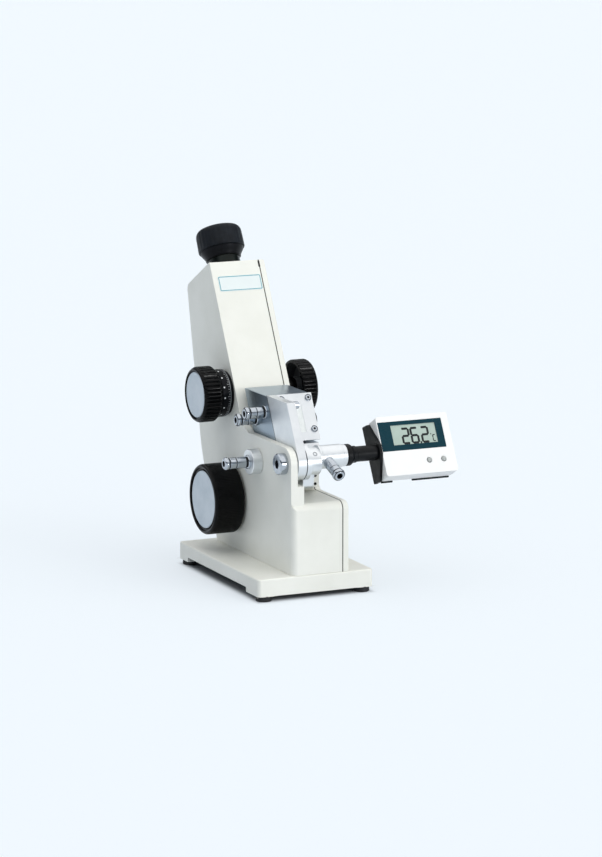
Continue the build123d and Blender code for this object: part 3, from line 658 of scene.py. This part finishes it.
# Freshly turned or milled aluminium: bright and almost white, with fine lines along the last cut.
bright_aluminium = mottle(
    new_material("fine_cut_aluminium", "#E2E5E7", 0.4, 1.0),
    "#E6E9EB",
    "#DBDFE2",
    patch=12,
    spread=0.3,
    grain=0.25,
    height=0.005,
    roughness=(0.37, 0.45),
    stretch=(1, 1, 0.12),
)
finish_piece(
    soften(node_copy("refracting_prism_holder"), 0.35),
    "refracting_prism_block",
    bright_aluminium,
    "stand",
    ["refracting_prism_holder"],
)

hinge_centre = Vector((0, -58.5, 97.5))
nose_screw_lift = math.radians(42)
nose_screw_out = Vector((0, -math.cos(nose_screw_lift), math.sin(nose_screw_lift)))
finish_piece(
    turned(
        [(0, -1.2), (0.95, -1.2), (0.95, 0.1), (1.6, 0.1), (1.8, -0.1), (1.8, -2), (0, -2), (0, -1.2)], 32
    ),
    "nose_set_screw",
    zinc_steel,
    "stand",
    place=set_at(
        hinge_centre + Vector((2.5, 0, 0)) + nose_screw_out * 10.25, (1, 0, 0), nose_screw_out
    ),
)

# Polished flint glass: clear with a faint warm tint, and a soft haze where fingers have touched it.
flint_glass = mottle(
    new_material("polished_flint_glass", "#F2F6F3", 0.03),
    "#F4F8F5",
    "#EAF1EC",
    patch=6,
    spread=0.25,
    grain=2.0,
    height=0.001,
    roughness=(0.02, 0.08),
)
let_through(flint_glass, 1.0, 1.72)
dress(flint_glass, "refracting_prism")

# Bright nickel under chrome: a hard blue-white mirror finish with slight waves from polishing.
bright_chrome = mottle(
    new_material("bright_chrome_plate", "#B4BAC1", 0.12, 1.0),
    "#BBC1C8",
    "#A9B0B8",
    patch=5,
    spread=0.25,
    grain=0.7,
    height=0.002,
    roughness=(0.09, 0.18),
)
# The inside of a water bore is bare, wet brass gone nearly black. The same near black is also painted into
# sockets, grooves, waists and rings as painted shade.
bore_tarnish_and_painted_shade = mottle(
    new_material("tarnish_and_painted_shade", "#17181A", 0.6, 0.4),
    "#1C1D1F",
    "#101112",
    patch=1.5,
    spread=0.2,
    grain=0.3,
    height=0.01,
    roughness=(0.5, 0.7),
)
hinge_bolt = soften(node_copy("hinge_bolt"), 0.15)
# The faces in the hexagonal socket take the dark finish, as painted shade in the recess.
for face in hinge_bolt.faces:
    centre = face.calc_center_median() - hinge_centre
    if centre.yz.length < 3.45 and -22 < centre.x < -21:
        face.material_index = 1
finish_piece(
    hinge_bolt,
    "hex_socket_hinge_bolt",
    [bright_chrome, bore_tarnish_and_painted_shade],
    "stand",
    ["hinge_bolt"],
)

# Hose connectors: turned brass nozzles, chrome plated, with a waist behind the bead that the hose is
# pushed over. The lower one screws into a broad collar on the left wall.


bore_radius = 2.2


def nozzle(profile):
    """A turned hose connector: its bore takes the dark tarnish, and its grooves and waist take the same near
    black as painted shade.
    """
    shape = soften(turned(profile + profile[:1], 64), 0.18)
    for face in shape.faces:
        reach = face.calc_center_median().xy.length
        in_bore = reach < bore_radius + 0.02
        # Grooves and waist are painted near black as painted shade.
        in_painted_groove_shade = 3.85 < reach < 4.05
        if in_bore or in_painted_groove_shade:
            face.material_index = 1
    return shape


def hose_end(length):
    """From the mouth back towards the seat: chamfered lip, bead, two grooves, barrel and waist."""
    return [
        (bore_radius, length),
        (3.5, length),
        (4.1, length - 0.5),
        (4.7, length - 1.3),
        (4.7, length - 2.6),
        (4.3, length - 3.2),
        (3.95, length - 3.6),
        (3.95, length - 4.3),
        (4.25, length - 4.6),
        (4.25, length - 8.6),
        (4.0, length - 8.8),
        (4.0, length - 9.4),
        (4.25, length - 9.6),
        (4.25, 3.2),
        (3.9, 2.9),
        (3.9, 1.6),
    ]


for node, y, z in (("front_hose_connector", -12.4, 127.3), ("rear_hose_connector", 3.2, 120.0)):
    finish_piece(
        nozzle(hose_end(17.0) + [(4.6, 1.6), (5.0, 1.2), (5.0, 0), (bore_radius, 0)]),
        node + "_plated",
        [bright_chrome, bore_tarnish_and_painted_shade],
        "lid",
        [node],
        place=facing_left(-12.8, y, z),
    )
collar_height = 7.9
lower_end = hose_end(19.6) + [(4.8, 1.6), (5.2, 1.2), (5.2, 0)]
lower_nozzle = [(radius, height + collar_height) for radius, height in lower_end]
lower_shank = [(5, collar_height), (5, -13), (4, -13), (4, -15.5), (bore_radius, -15.5)]
lower_place = facing_left(-18.5, -12.1, 91.3)
finish_piece(
    nozzle(lower_nozzle + lower_shank),
    "lower_hose_connector_plated",
    [bright_chrome, bore_tarnish_and_painted_shade],
    "stand",
    ["lower_hose_connector"],
    place=lower_place,
)
collar_profile = [
    (5.1, 0),
    (8.9, 0),
    (8.9, 0.35),
    (9.35, 0.4),
    (9.35, 7.5),
    (8.95, collar_height),
    (5.1, collar_height),
    (5.1, 0),
]
finish_piece(
    soften(turned(collar_profile), 0.1),
    "turned_hose_collar",
    bright_aluminium,
    "stand",
    place=lower_place,
)
socket_y, socket_z = -58.5, 100
socket_hose_drop = math.radians(20)
finish_piece(
    nozzle(hose_end(28)[:-3] + [(4.25, 7), (bore_radius, 7)]),
    "socket_hose_connector_plated",
    [bright_chrome, bore_tarnish_and_painted_shade],
    "stand",
    ["socket_hose_connector"],
    place=set_at(
        (13.5, socket_y, socket_z),
        (1, 0, 0),
        (0, -math.cos(socket_hose_drop), -math.sin(socket_hose_drop)),
    ),
)

# Thermometer socket: a turned aluminium barrel flanged to the nose, with a stepped end and a coned black
# gland nut that grips the thermometer's stem.

finish_piece(
    soften(node_copy("thermometer_socket"), 0.2),
    "turned_thermometer_socket",
    bright_aluminium,
    "stand",
    ["thermometer_socket"],
)
gland_profile = [
    (3.1, 0),
    (7.7, 0),
    (8, 0.3),
    (8, 3.4),
    (7.6, 4.1),
    (6.6, 5.4),
    (6.3, 6.2),
    (6.2, 8.4),
    (3.1, 8.4),
    (3.1, 0),
]
finish_piece(
    soften(turned(gland_profile, 64), 0.15),
    "gland_nut",
    black_abs,
    "stand",
    ["thermometer_gland"],
    place=facing_right(29.4, socket_y, socket_z),
)

# Light control: a small shutter plate in front of the lower window, and a mirror below it that throws
# light up.

for node, finish, slot, body in (
    ("light_shield", satin_aluminium, "satin_aluminium", "shield"),
    ("shield_screw", zinc_steel, "screw_steel", "stand"),
):
    finish_piece(soften(node_copy(node), 0.15), node + "_finished", finish, body, [node])
finish_piece(
    soften(node_copy("reflector_bracket"), 0.4),
    "reflector_bracket_enamel",
    cream_enamel,
    "stand",
    ["reflector_bracket"],
)
# Two small screws of the bracket with hollow heads, one above the other.
bracket_screw = [
    (0, 0.2),
    (0.45, 0.2),
    (0.45, 0.7),
    (0.85, 0.7),
    (1.05, 0.5),
    (1.05, -0.2),
    (0, -0.2),
    (0, 0.2),
]
bracket_places = [set_at((18.3, -32, z), (1, 0, 0), (0, -1, 0)) for z in (74.9, 81.1)]
finish_piece(
    joined([(turned(bracket_screw, 24), place) for place in bracket_places]),
    "bracket_screws",
    black_abs,
    "stand",
)
# Silvered glass: a clean mirror with a faint grey cast and light wiping marks.
silvered_glass = mottle(
    new_material("silvered_glass", "#D9DEDF", 0.04, 1.0),
    "#DEE3E4",
    "#CFD5D7",
    patch=7,
    spread=0.25,
    grain=3.0,
    height=0.001,
    roughness=(0.02, 0.08),
    stretch=(0.3, 1, 1),
)
dress(silvered_glass, "reflector", "swing_mirror")

# Prism lid: the upper aluminium box with the illuminating prism, a screwed frame round its frosted window,
# and the flat arm on its left that swings it about the hinge bolt.

for node, name, edge, finish in (
    ("illuminating_prism_holder", "illuminating_prism_block", 0.35, satin_aluminium),
    ("hinge_arm", "milled_hinge_arm", 0.3, bright_aluminium),
    ("window_frame", "screwed_window_frame", 0.25, bright_aluminium),
):
    finish_piece(soften(node_copy(node), edge), name, finish, "lid", [node])
# A black rubber gasket is squeezed between the block and the arm. Its edge shows as a thin line.
finish_piece(
    soften(block((6.8, 36.8, 0.6)), 0.06),
    "arm_gasket",
    foot_rubber,
    "lid",
    place=set_at((-9.42, -23.58, 123.8), (1, 0, 0), off_slope),
)
# A long cheese-head screw stands out of the arm's right side, close to its top corner.
side_screw = [
    (0, 3.4),
    (0.9, 3.4),
    (0.9, 4.6),
    (2.3, 4.6),
    (2.8, 4.1),
    (2.8, 1.2),
    (2.2, 0.9),
    (2.2, 0),
    (0, 0),
    (0, 3.4),
]
finish_piece(
    soften(turned(side_screw, 40), 0.1),
    "arm_side_screw",
    bright_chrome,
    "lid",
    place=facing_right(-6, -45.4, 137.2),
)
# The pane's middle is raised, so that it fills the opening of the frame up to a shallow step.
pane = node_copy("frosted_window")
front = max(pane.faces, key=lambda face: face.calc_center_median().dot(off_slope))
pane_margin, pane_step = 1.05, 1.2
bmesh.ops.inset_region(pane, faces=[front], thickness=pane_margin)
pulled(pane, [front, *front.edges], off_slope * pane_step)
finish_piece(
    soften(pane, 0.1), "frosted_window_pane", ground_glass, "lid", ["frosted_window"]
)
dress(flint_glass, "illuminating_prism")
# Four cheese-head screws, each sunk in a collar with a groove round the head. The groove and the socket in
# the head are painted near black as painted shade.
lid_screw = [
    (0, 0.3),
    (0.95, 0.3),
    (0.95, 0.8),
    (1.85, 0.8),
    (2.0, 0.65),
    (2.0, 0.05),
    (2.3, 0.05),
    (2.3, 0.65),
    (2.4, 0.75),
    (2.6, 0.6),
    (2.6, -1.5),
    (0, -1.5),
    (0, 0.3),
]
lid_top, seat_height = Vector((0, -15.235, 139.5)), 1.5
lid_screws = []
for x in (18.7, -2.6):
    for down in (3.8, 28.0):
        head = turned(lid_screw, 48)
        for face in head.faces:
            centre = face.calc_center_median()
            in_painted_recess_shade = centre.xy.length < 0.96 and centre.z > -1
            in_painted_ring_shade = 2.0 < centre.xy.length < 2.29 and centre.z > 0
            if in_painted_recess_shade or in_painted_ring_shade:
                face.material_index = 1
        seat = lid_top + Vector((x, 0, 0)) - up_slope * down + off_slope * seat_height
        lid_screws.append((head, set_at(seat, (1, 0, 0), off_slope)))
finish_piece(
    joined(lid_screws),
    "lid_screw_heads",
    [bright_chrome, bore_tarnish_and_painted_shade],
    "lid",
    ["lid_screws"],
)
finish_piece(
    soften(node_copy("lock_lever"), 0.25),
    "moulded_lock_lever",
    black_abs,
    "lock",
    ["lock_lever"],
)

# Digital thermometer: a white case with a dark window and two push buttons, clipped in a black cradle on
# the stem of its probe.

finish_piece(
    soften(turned([(0, 12), (3, 12), (3, 38.1), (5.7, 38.1), (5.7, 54.5), (0, 54.5)], 48), 0.2),
    "probe_stem",
    black_abs,
    "thermometer",
    ["thermometer_stem"],
    place=facing_right(0, socket_y, socket_z),
)
case_place = set_at((0, socket_y, socket_z), (1, 0, 0), off_slope)
cradle = [(soften(node_copy("thermometer_cradle"), 0.4), Matrix())]
# Two lips of the cradle reach under the back edge of the case.
for left, right in ((57.2, 66.4), (82.4, 112.4)):
    lip = soften(block((right - left, 3.2, 1.6)), 0.3)
    middle = Matrix.Translation(((left + right) / 2, -20.2, -6.9))
    cradle.append((lip, case_place @ middle))
finish_piece(
    joined(cradle),
    "moulded_cradle",
    black_abs,
    "thermometer",
    ["thermometer_cradle"],
)
# Injection-moulded white ABS: a smooth satin, very slightly warm, with soft flow marks.
white_abs = mottle(
    new_material("moulded_white_abs", "#F8F8F7", 0.35),
    "#F9F9F8",
    "#F5F5F3",
    patch=16,
    spread=0.2,
    grain=0.6,
    height=0.006,
    roughness=(0.3, 0.42),
)
finish_piece(
    soften(node_copy("thermometer_case"), 0.4, clamp=False),
    "moulded_thermometer_case",
    white_abs,
    "thermometer",
    ["thermometer_case"],
)
# Screen-printed acrylic: a dark teal ink behind a clear glossy sheet.
teal_acrylic = mottle(
    new_material("teal_printed_acrylic", "#043642", 0.26, specular=0.12),
    "#053945",
    "#04323D",
    patch=12,
    spread=0.25,
    grain=3.0,
    height=0.002,
    roughness=(0.24, 0.32),
)
finish_piece(
    soften(node_copy("display_window"), 0.15),
    "printed_display_window",
    teal_acrylic,
    "thermometer",
    ["display_window"],
)
# Reflective display glass: grey-green, with the dark figures behind a thin polariser.
display_glass = mottle(
    new_material("display_polariser", "#B5C5BB", 0.4, specular=0.2),
    "#B9C9BF",
    "#ACBDB2",
    patch=14,
    spread=0.25,
    grain=1.2,
    height=0.002,
    roughness=(0.22, 0.34),
)
dress(display_glass, "display_panel")
figure_ink = mottle(
    new_material("display_figures", "#161C1E", 0.45, specular=0.3),
    "#1A2123",
    "#121719",
    patch=3,
    spread=0.2,
    grain=0.5,
    height=0.002,
    roughness=(0.4, 0.5),
)
# Seven bars of a figure: the place of each bar's middle as shares of the figure's width and height, and
# how the bar runs.
bars = {
    "top": (0.5, 1, "flat"),
    "middle": (0.5, 0.5, "flat"),
    "bottom": (0.5, 0, "flat"),
    "upper_left": (0, 0.75, "tall"),
    "upper_right": (1, 0.75, "tall"),
    "lower_left": (0, 0.25, "tall"),
    "lower_right": (1, 0.25, "tall"),
}
two = ("top", "upper_right", "middle", "lower_left", "bottom")
six = ("top", "upper_left", "middle", "lower_left", "lower_right", "bottom")
letter_c = ("top", "upper_left", "lower_left", "bottom")
figure_height, ink_depth = 5.92, 0.04
figures = bmesh.new()
for lit, left, low, width, tall, stroke in (
    (two, 75.9, 3.2, 5.2, 11.2, 1.7),
    (six, 83.2, 3.2, 5.2, 11.2, 1.7),
    (two, 91.6, 3.2, 5.2, 11.2, 1.7),
    (letter_c, 100.2, 3.4, 1.9, 4.6, 0.75),
):
    for name in lit:
        along, up, run = bars[name]
        length = (width if run == "flat" else tall / 2) - stroke * 0.15
        size = (length, stroke, ink_depth) if run == "flat" else (stroke, length, ink_depth)
        middle = (left + along * width, low + up * tall, figure_height)
        bar = bmesh.ops.create_cube(figures, size=1)["verts"]
        bmesh.ops.scale(figures, vec=size, verts=bar)
        bmesh.ops.translate(figures, vec=middle, verts=bar)
        ends = {e for v in bar for e in v.link_edges if abs((e.verts[0].co - e.verts[1].co).z) > 0.03}
        bmesh.ops.bevel(
            figures,
            geom=list(ends),
            offset=stroke * 0.3,
            segments=1,
            profile=0.5,
            affect="EDGES",
            material=-1,
        )
# The decimal point, and the small dot of the unit sign.
for along, up, radius in ((90.0, 3.1, 0.75), (98.9, 8.8, 0.45)):
    dot = bmesh.ops.create_circle(figures, cap_ends=True, radius=radius, segments=16)["verts"]
    bmesh.ops.translate(figures, vec=(along, up, figure_height + ink_depth / 2), verts=dot)
finish_piece(figures, "display_figures", figure_ink, "thermometer", place=case_place)
# Silicone push button: mid grey, dull, domed and a little shiny where it is pressed.
grey_silicone = mottle(
    new_material("grey_silicone", "#B4B7B4", 0.5),
    "#BBBEBB",
    "#A9ADAA",
    patch=1.5,
    spread=0.2,
    grain=0.25,
    height=0.01,
    roughness=(0.4, 0.6),
)
button = [(0, 1.7), (3, 1.7), (3, 2.9), (1.75, 2.9), (1.75, 6.6), (1.55, 7.0), (1.1, 7.2), (0, 7.3)]
for node, body, x in (("left_button", "left_key", 93.2), ("right_button", "right_key", 104.9)):
    finish_piece(
        soften(turned(button, 40), 0.08),
        node + "_domed",
        grey_silicone,
        body,
        [node],
        place=case_place @ Matrix.Translation((x, -11, 0)),
    )

# Index drive: a large black knob with a fine-ribbed grip and a grey disc let into its face, on a steel
# shaft in a flanged brass bush. Inside, its pinion swings the arm with the mirror and the glass scale.


def ribbed(ribs, rings, sharpness, per_rib=8, hollow=False):
    """A turned shape with ribs, closed at its last ring unless hollow.

    Rings are (radius, height, groove depth) in mm, and a greater sharpness gives narrower grooves.
    """
    bm = bmesh.new()
    bmesh.ops.create_circle(bm, cap_ends=True, radius=1, segments=ribs * per_rib)
    bm.faces.ensure_lookup_table()
    end = bm.faces[0]
    for number, (radius, height, depth) in enumerate(rings):
        if number:
            grown = bmesh.ops.extrude_face_region(bm, geom=[end, *end.edges])["geom"]
            end = next(each for each in grown if isinstance(each, bmesh.types.BMFace))
        for vertex in end.verts:
            angle = math.atan2(vertex.co.y, vertex.co.x)
            reach = radius - depth * abs(math.cos(ribs * angle / 2)) ** sharpness
            vertex.co = (reach * math.cos(angle), reach * math.sin(angle), height)
    if hollow:
        bmesh.ops.delete(bm, geom=[end], context="FACES_ONLY")
        bmesh.ops.remove_doubles(bm, verts=bm.verts, dist=0.001)
    bmesh.ops.recalc_face_normals(bm, faces=bm.faces)
    return bm


# Hard black phenolic: turned and polished, so it is nearly pure black with a narrow shine on every edge.
black_phenolic = mottle(
    new_material("polished_black_phenolic", "#030304", 0.18, specular=0.12),
    "#040506",
    "#020203",
    patch=8,
    spread=0.2,
    grain=0.5,
    height=0.008,
    roughness=(0.15, 0.22),
)
index_y, index_z = 33.5, 56.2
index_rings = [
    (10, 20.2, 0),
    (10, 23.2, 0),
    (25.1, 23.2, 0),
    (25.9, 22.7, 0.1),
    (26.3, 21.8, 0.2),
    (26.3, 2.0, 0.2),
    (26.0, 1.1, 0.1),
    (25.5, 0.5, 0),
    (24.9, 0.1, 0),
    (24.2, 0.05, 0),
    (23.6, 0.35, 0),
    (23.3, 1.2, 0),
    (22.5, 1.4, 0),
    (22.2, 0.7, 0),
    (21.8, 0.6, 0),
    (21.6, 2.0, 0),
]
finish_piece(
    ribbed(120, index_rings, sharpness=4, per_rib=6),
    "fine_ribbed_index_knob",
    black_phenolic,
    "index_drive",
    ["index_knob"],
    place=facing_right(-43.5, index_y, index_z),
)
# Grey-lacquered aluminium disc: a cool light grey satin.
grey_lacquer = mottle(
    new_material("grey_lacquered_disc", "#D0DBE3", 0.4),
    "#D5DFE7",
    "#C8D4DD",
    patch=12,
    spread=0.2,
    grain=0.5,
    height=0.006,
    roughness=(0.34, 0.48),
)
finish_piece(
    soften(turned([(0, 0.25), (16, 0.15), (20.2, 0), (21.1, 0), (21.5, 0.4), (21.5, 1.4), (0, 1.4)]), 0.12),
    "index_knob_disc",
    grey_lacquer,
    "index_drive",
    ["index_knob_cap"],
    place=facing_right(-42.9, index_y, index_z),
)
dress(zinc_steel, "index_shaft", "arm_pivot", "compensator_shaft")
dress(dull_brass, "index_bush", "lower_amici_cell", "upper_amici_cell")
dress(satin_aluminium, "mirror_arm")
dress(ground_glass, "scale_plate")

# Compensator drive: one shaft through the column with a ribbed knob on each end. The left one carries a
# grey disc and the dark dispersion scale, and the right one is a hollow cup, open towards the column.

shaft_y, shaft_z, knob_ribs = 47.6, 132.8, 42
left_rings = [
    (3, 15.5, 0),
    (18.0, 15.5, 0),
    (18.4, 15.2, 0),
    (19.4, 14.2, 0.3),
    (20.8, 12.6, 0.95),
    (20.8, 2.6, 0.95),
    (20.5, 1.7, 0.6),
    (20.0, 1.0, 0.1),
    (19.6, 0.5, 0),
    (19.0, 0.1, 0),
    (18.4, 0.05, 0),
    (18.0, 0.4, 0),
    (17.6, 0.6, 0),
    (17.1, 2.0, 0),
]
finish_piece(
    ribbed(knob_ribs, left_rings, sharpness=6),
    "ribbed_dispersion_knob",
    black_phenolic,
    "compensator",
    ["dispersion_knob"],
    place=facing_right(-43.5, shaft_y, shaft_z),
)
finish_piece(
    soften(turned([(0, 0.2), (13, 0.12), (15.8, 0), (16.6, 0), (17, 0.4), (17, 1.5), (0, 1.5)]), 0.12),
    "dispersion_knob_disc",
    grey_lacquer,
    "compensator",
    ["dispersion_knob_cap"],
    place=facing_right(-43.0, shaft_y, shaft_z),
)
# Black-anodised aluminium: soot black with a dry metallic sheen.
black_anodised = mottle(
    new_material("black_anodised_aluminium", "#111214", 0.36, 0.6, 0.2),
    "#15161A",
    "#0D0E10",
    patch=5,
    spread=0.2,
    grain=0.25,
    height=0.006,
    roughness=(0.32, 0.46),
)
# Engraved marks are filled with white paint.
white_filling = mottle(
    new_material("white_engraving_fill", "#E6E8E8", 0.55),
    "#EDEFEF",
    "#D8DBDC",
    patch=1,
    spread=0.2,
    grain=0.3,
    height=0.01,
    roughness=(0.5, 0.65),
)
ring_radius, mark_count, dot_count = 17.8, 60, 14
scale_profile = [
    (3, 0),
    (17.2, 0),
    (ring_radius, 0.4),
    (ring_radius, 6.2),
    (17.5, 6.3),
    (17.5, 6.6),
    (17.7, 6.7),
    (17.6, 7.3),
    (17.2, 7.6),
    (8, 7.6),
    (8, 5),
    (3, 5),
    (3, 0),
]
scale_ring = soften(turned(scale_profile), 0.08)
# A bright line runs round the bottom of the groove beside the scale.
for face in scale_ring.faces:
    centre = face.calc_center_median()
    if 6.25 < centre.z < 6.65 and centre.xy.length > 17:
        face.material_index = 2
marks = [(scale_ring, Matrix())]
# Every fifth mark is long. All of them end on one line, 5.8 mm from the ring's left face.
for number in range(mark_count):
    length = 1.8 if number % 5 == 0 else 1.1
    mark = block((0.06, 0.13, length))
    bmesh.ops.translate(mark, vec=(ring_radius, 0, 5.8 - length / 2), verts=mark.verts)
    for face in mark.faces:
        face.material_index = 1
    marks.append((mark, Matrix.Rotation(math.radians(360 / mark_count * number), 4, "Z")))
# A row of flat white dots runs round the ring near its left face.
for number in range(dot_count):
    dot = bmesh.new()
    bmesh.ops.create_uvsphere(dot, u_segments=12, v_segments=8, radius=0.62)
    bmesh.ops.scale(dot, vec=(0.15, 1, 1), verts=dot.verts)
    bmesh.ops.translate(dot, vec=(17.78, 0, 1.6), verts=dot.verts)
    for face in dot.faces:
        face.material_index = 1
    marks.append((dot, Matrix.Rotation(2 * math.pi * number / dot_count + 0.05, 4, "Z")))
finish_piece(
    joined(marks),
    "engraved_dispersion_scale",
    [black_anodised, white_filling, zinc_steel],
    "compensator",
    ["dispersion_scale_ring"],
    place=facing_right(-28, shaft_y, shaft_z),
)
finish_piece(
    soften(node_copy("compensator_bushes"), 0.15),
    "flanged_compensator_bushes",
    black_anodised,
    "stand",
    ["compensator_bushes"],
)
right_rings = [
    (3, 0.2, 0),
    (14, 0.2, 0),
    (15, 0, 0),
    (18.6, 0, 0),
    (19.5, 0.4, 0),
    (20.2, 1.2, 0.2),
    (20.8, 2.4, 0.95),
    (20.8, 11.9, 0.95),
    (20.4, 12.6, 0.3),
    (19.6, 12.7, 0),
    (18.4, 12.7, 0),
    (18.1, 12.2, 0),
    (17.5, 3.9, 0),
    (8.6, 3.6, 0),
    (7.6, 12, 0),
    (7.0, 20.8, 0),
    (3, 20.8, 0),
]
right_knob = ribbed(knob_ribs, right_rings, sharpness=6)
for face in right_knob.faces:
    centre = face.calc_center_median()
    if centre.xy.length < 17.9 and 3.5 < centre.z < 12.2:
        face.material_index = 1
# Inside the cup the moulding is unpolished and grey with dust.
dusty_phenolic = mottle(
    new_material("unpolished_phenolic", "#24262A", 0.6),
    "#2C2F33",
    "#1C1E21",
    patch=5,
    spread=0.2,
    grain=0.6,
    height=0.02,
    roughness=(0.55, 0.7),
)
finish_piece(
    right_knob,
    "ribbed_right_knob",
    [black_phenolic, dusty_phenolic],
    "compensator",
    ["right_knob"],
    place=facing_left(49, shaft_y, shaft_z),
)
dress(black_anodised, "telescope_barrel", "lens_cell")
dress(flint_glass, "objective_lens", "lower_amici_prism", "upper_amici_prism")

# Eyepiece: a black tube in the head of the column, the coned dioptre ring that turns on it, and a soft
# rubber cup with shallow flutes and a rolled lip. The eye lens sits deep inside.

optic_place = set_at((4, 97.481, 216.188), (1, 0, 0), up_slope)
# Gloss-black anodising on the fixed neck has a greenish cast.
green_black = mottle(
    new_material("gloss_black_anodising", "#101614", 0.22, 0.5, 0.3),
    "#141B18",
    "#0C110F",
    patch=6,
    spread=0.2,
    grain=0.3,
    height=0.004,
    roughness=(0.16, 0.28),
)
neck_profile = [
    (9.5, -7),
    (12.2, -7),
    (12.2, 1.6),
    (11.9, 1.9),
    (11.9, 2.3),
    (12.2, 2.6),
    (12.2, 13),
    (9.5, 13),
    (9.5, -7),
]
finish_piece(
    soften(turned(neck_profile), 0.08),
    "eyepiece_neck",
    green_black,
    "stand",
    ["eyepiece_tube"],
    place=optic_place,
)
dioptre_profile = [
    (12.25, 9.6),
    (13.2, 9.6),
    (13.5, 9.9),
    (13.7, 11.2),
    (14.9, 13.2),
    (16.4, 15.6),
    (16.5, 16.6),
    (12.25, 16.6),
    (12.25, 9.6),
]
finish_piece(
    soften(turned(dioptre_profile), 0.12),
    "coned_dioptre_ring",
    black_anodised,
    "eyepiece",
    ["dioptre_ring"],
    place=optic_place,
)
# Soft chloroprene rubber: a bluish black, quite dull, with a fine bloom on the raised flutes.
cup_rubber = mottle(
    new_material("soft_chloroprene_rubber", "#0F141A", 0.5, specular=0.18),
    "#131920",
    "#0B0F14",
    patch=6,
    spread=0.2,
    grain=0.5,
    height=0.02,
    roughness=(0.42, 0.55),
)
cup_rings = [
    (12.6, 16.6, 0),
    (16.9, 16.6, 0),
    (17.4, 16.9, 0),
    (17.7, 17.5, 0.06),
    (17.7, 19.0, 0.18),
    (17.5, 28.8, 0.18),
    (17.2, 30.6, 0.1),
    (16.6, 32.0, 0.04),
    (15.6, 33.1, 0),
    (14.3, 33.6, 0),
    (12.9, 33.5, 0),
    (11.7, 32.8, 0),
    (10.9, 31.6, 0),
    (10.3, 29.6, 0),
    (9.7, 24, 0),
    (12.6, 20, 0),
    (12.6, 16.6, 0),
]
finish_piece(
    ribbed(28, cup_rings, sharpness=4, hollow=True),
    "fluted_eye_cup",
    cup_rubber,
    "eyepiece",
    ["eyepiece_cup"],
    place=optic_place,
)
# Coated crown glass: clear, with the deep reflection of its coating.
crown_glass = mottle(
    new_material("coated_crown_glass", "#E9F0F4", 0.02),
    "#EDF3F6",
    "#E0EAF0",
    patch=5,
    spread=0.25,
    grain=2.0,
    height=0.001,
    roughness=(0.01, 0.05),
)
let_through(crown_glass, 1.0, 1.52)
dress(crown_glass, "eye_lens")
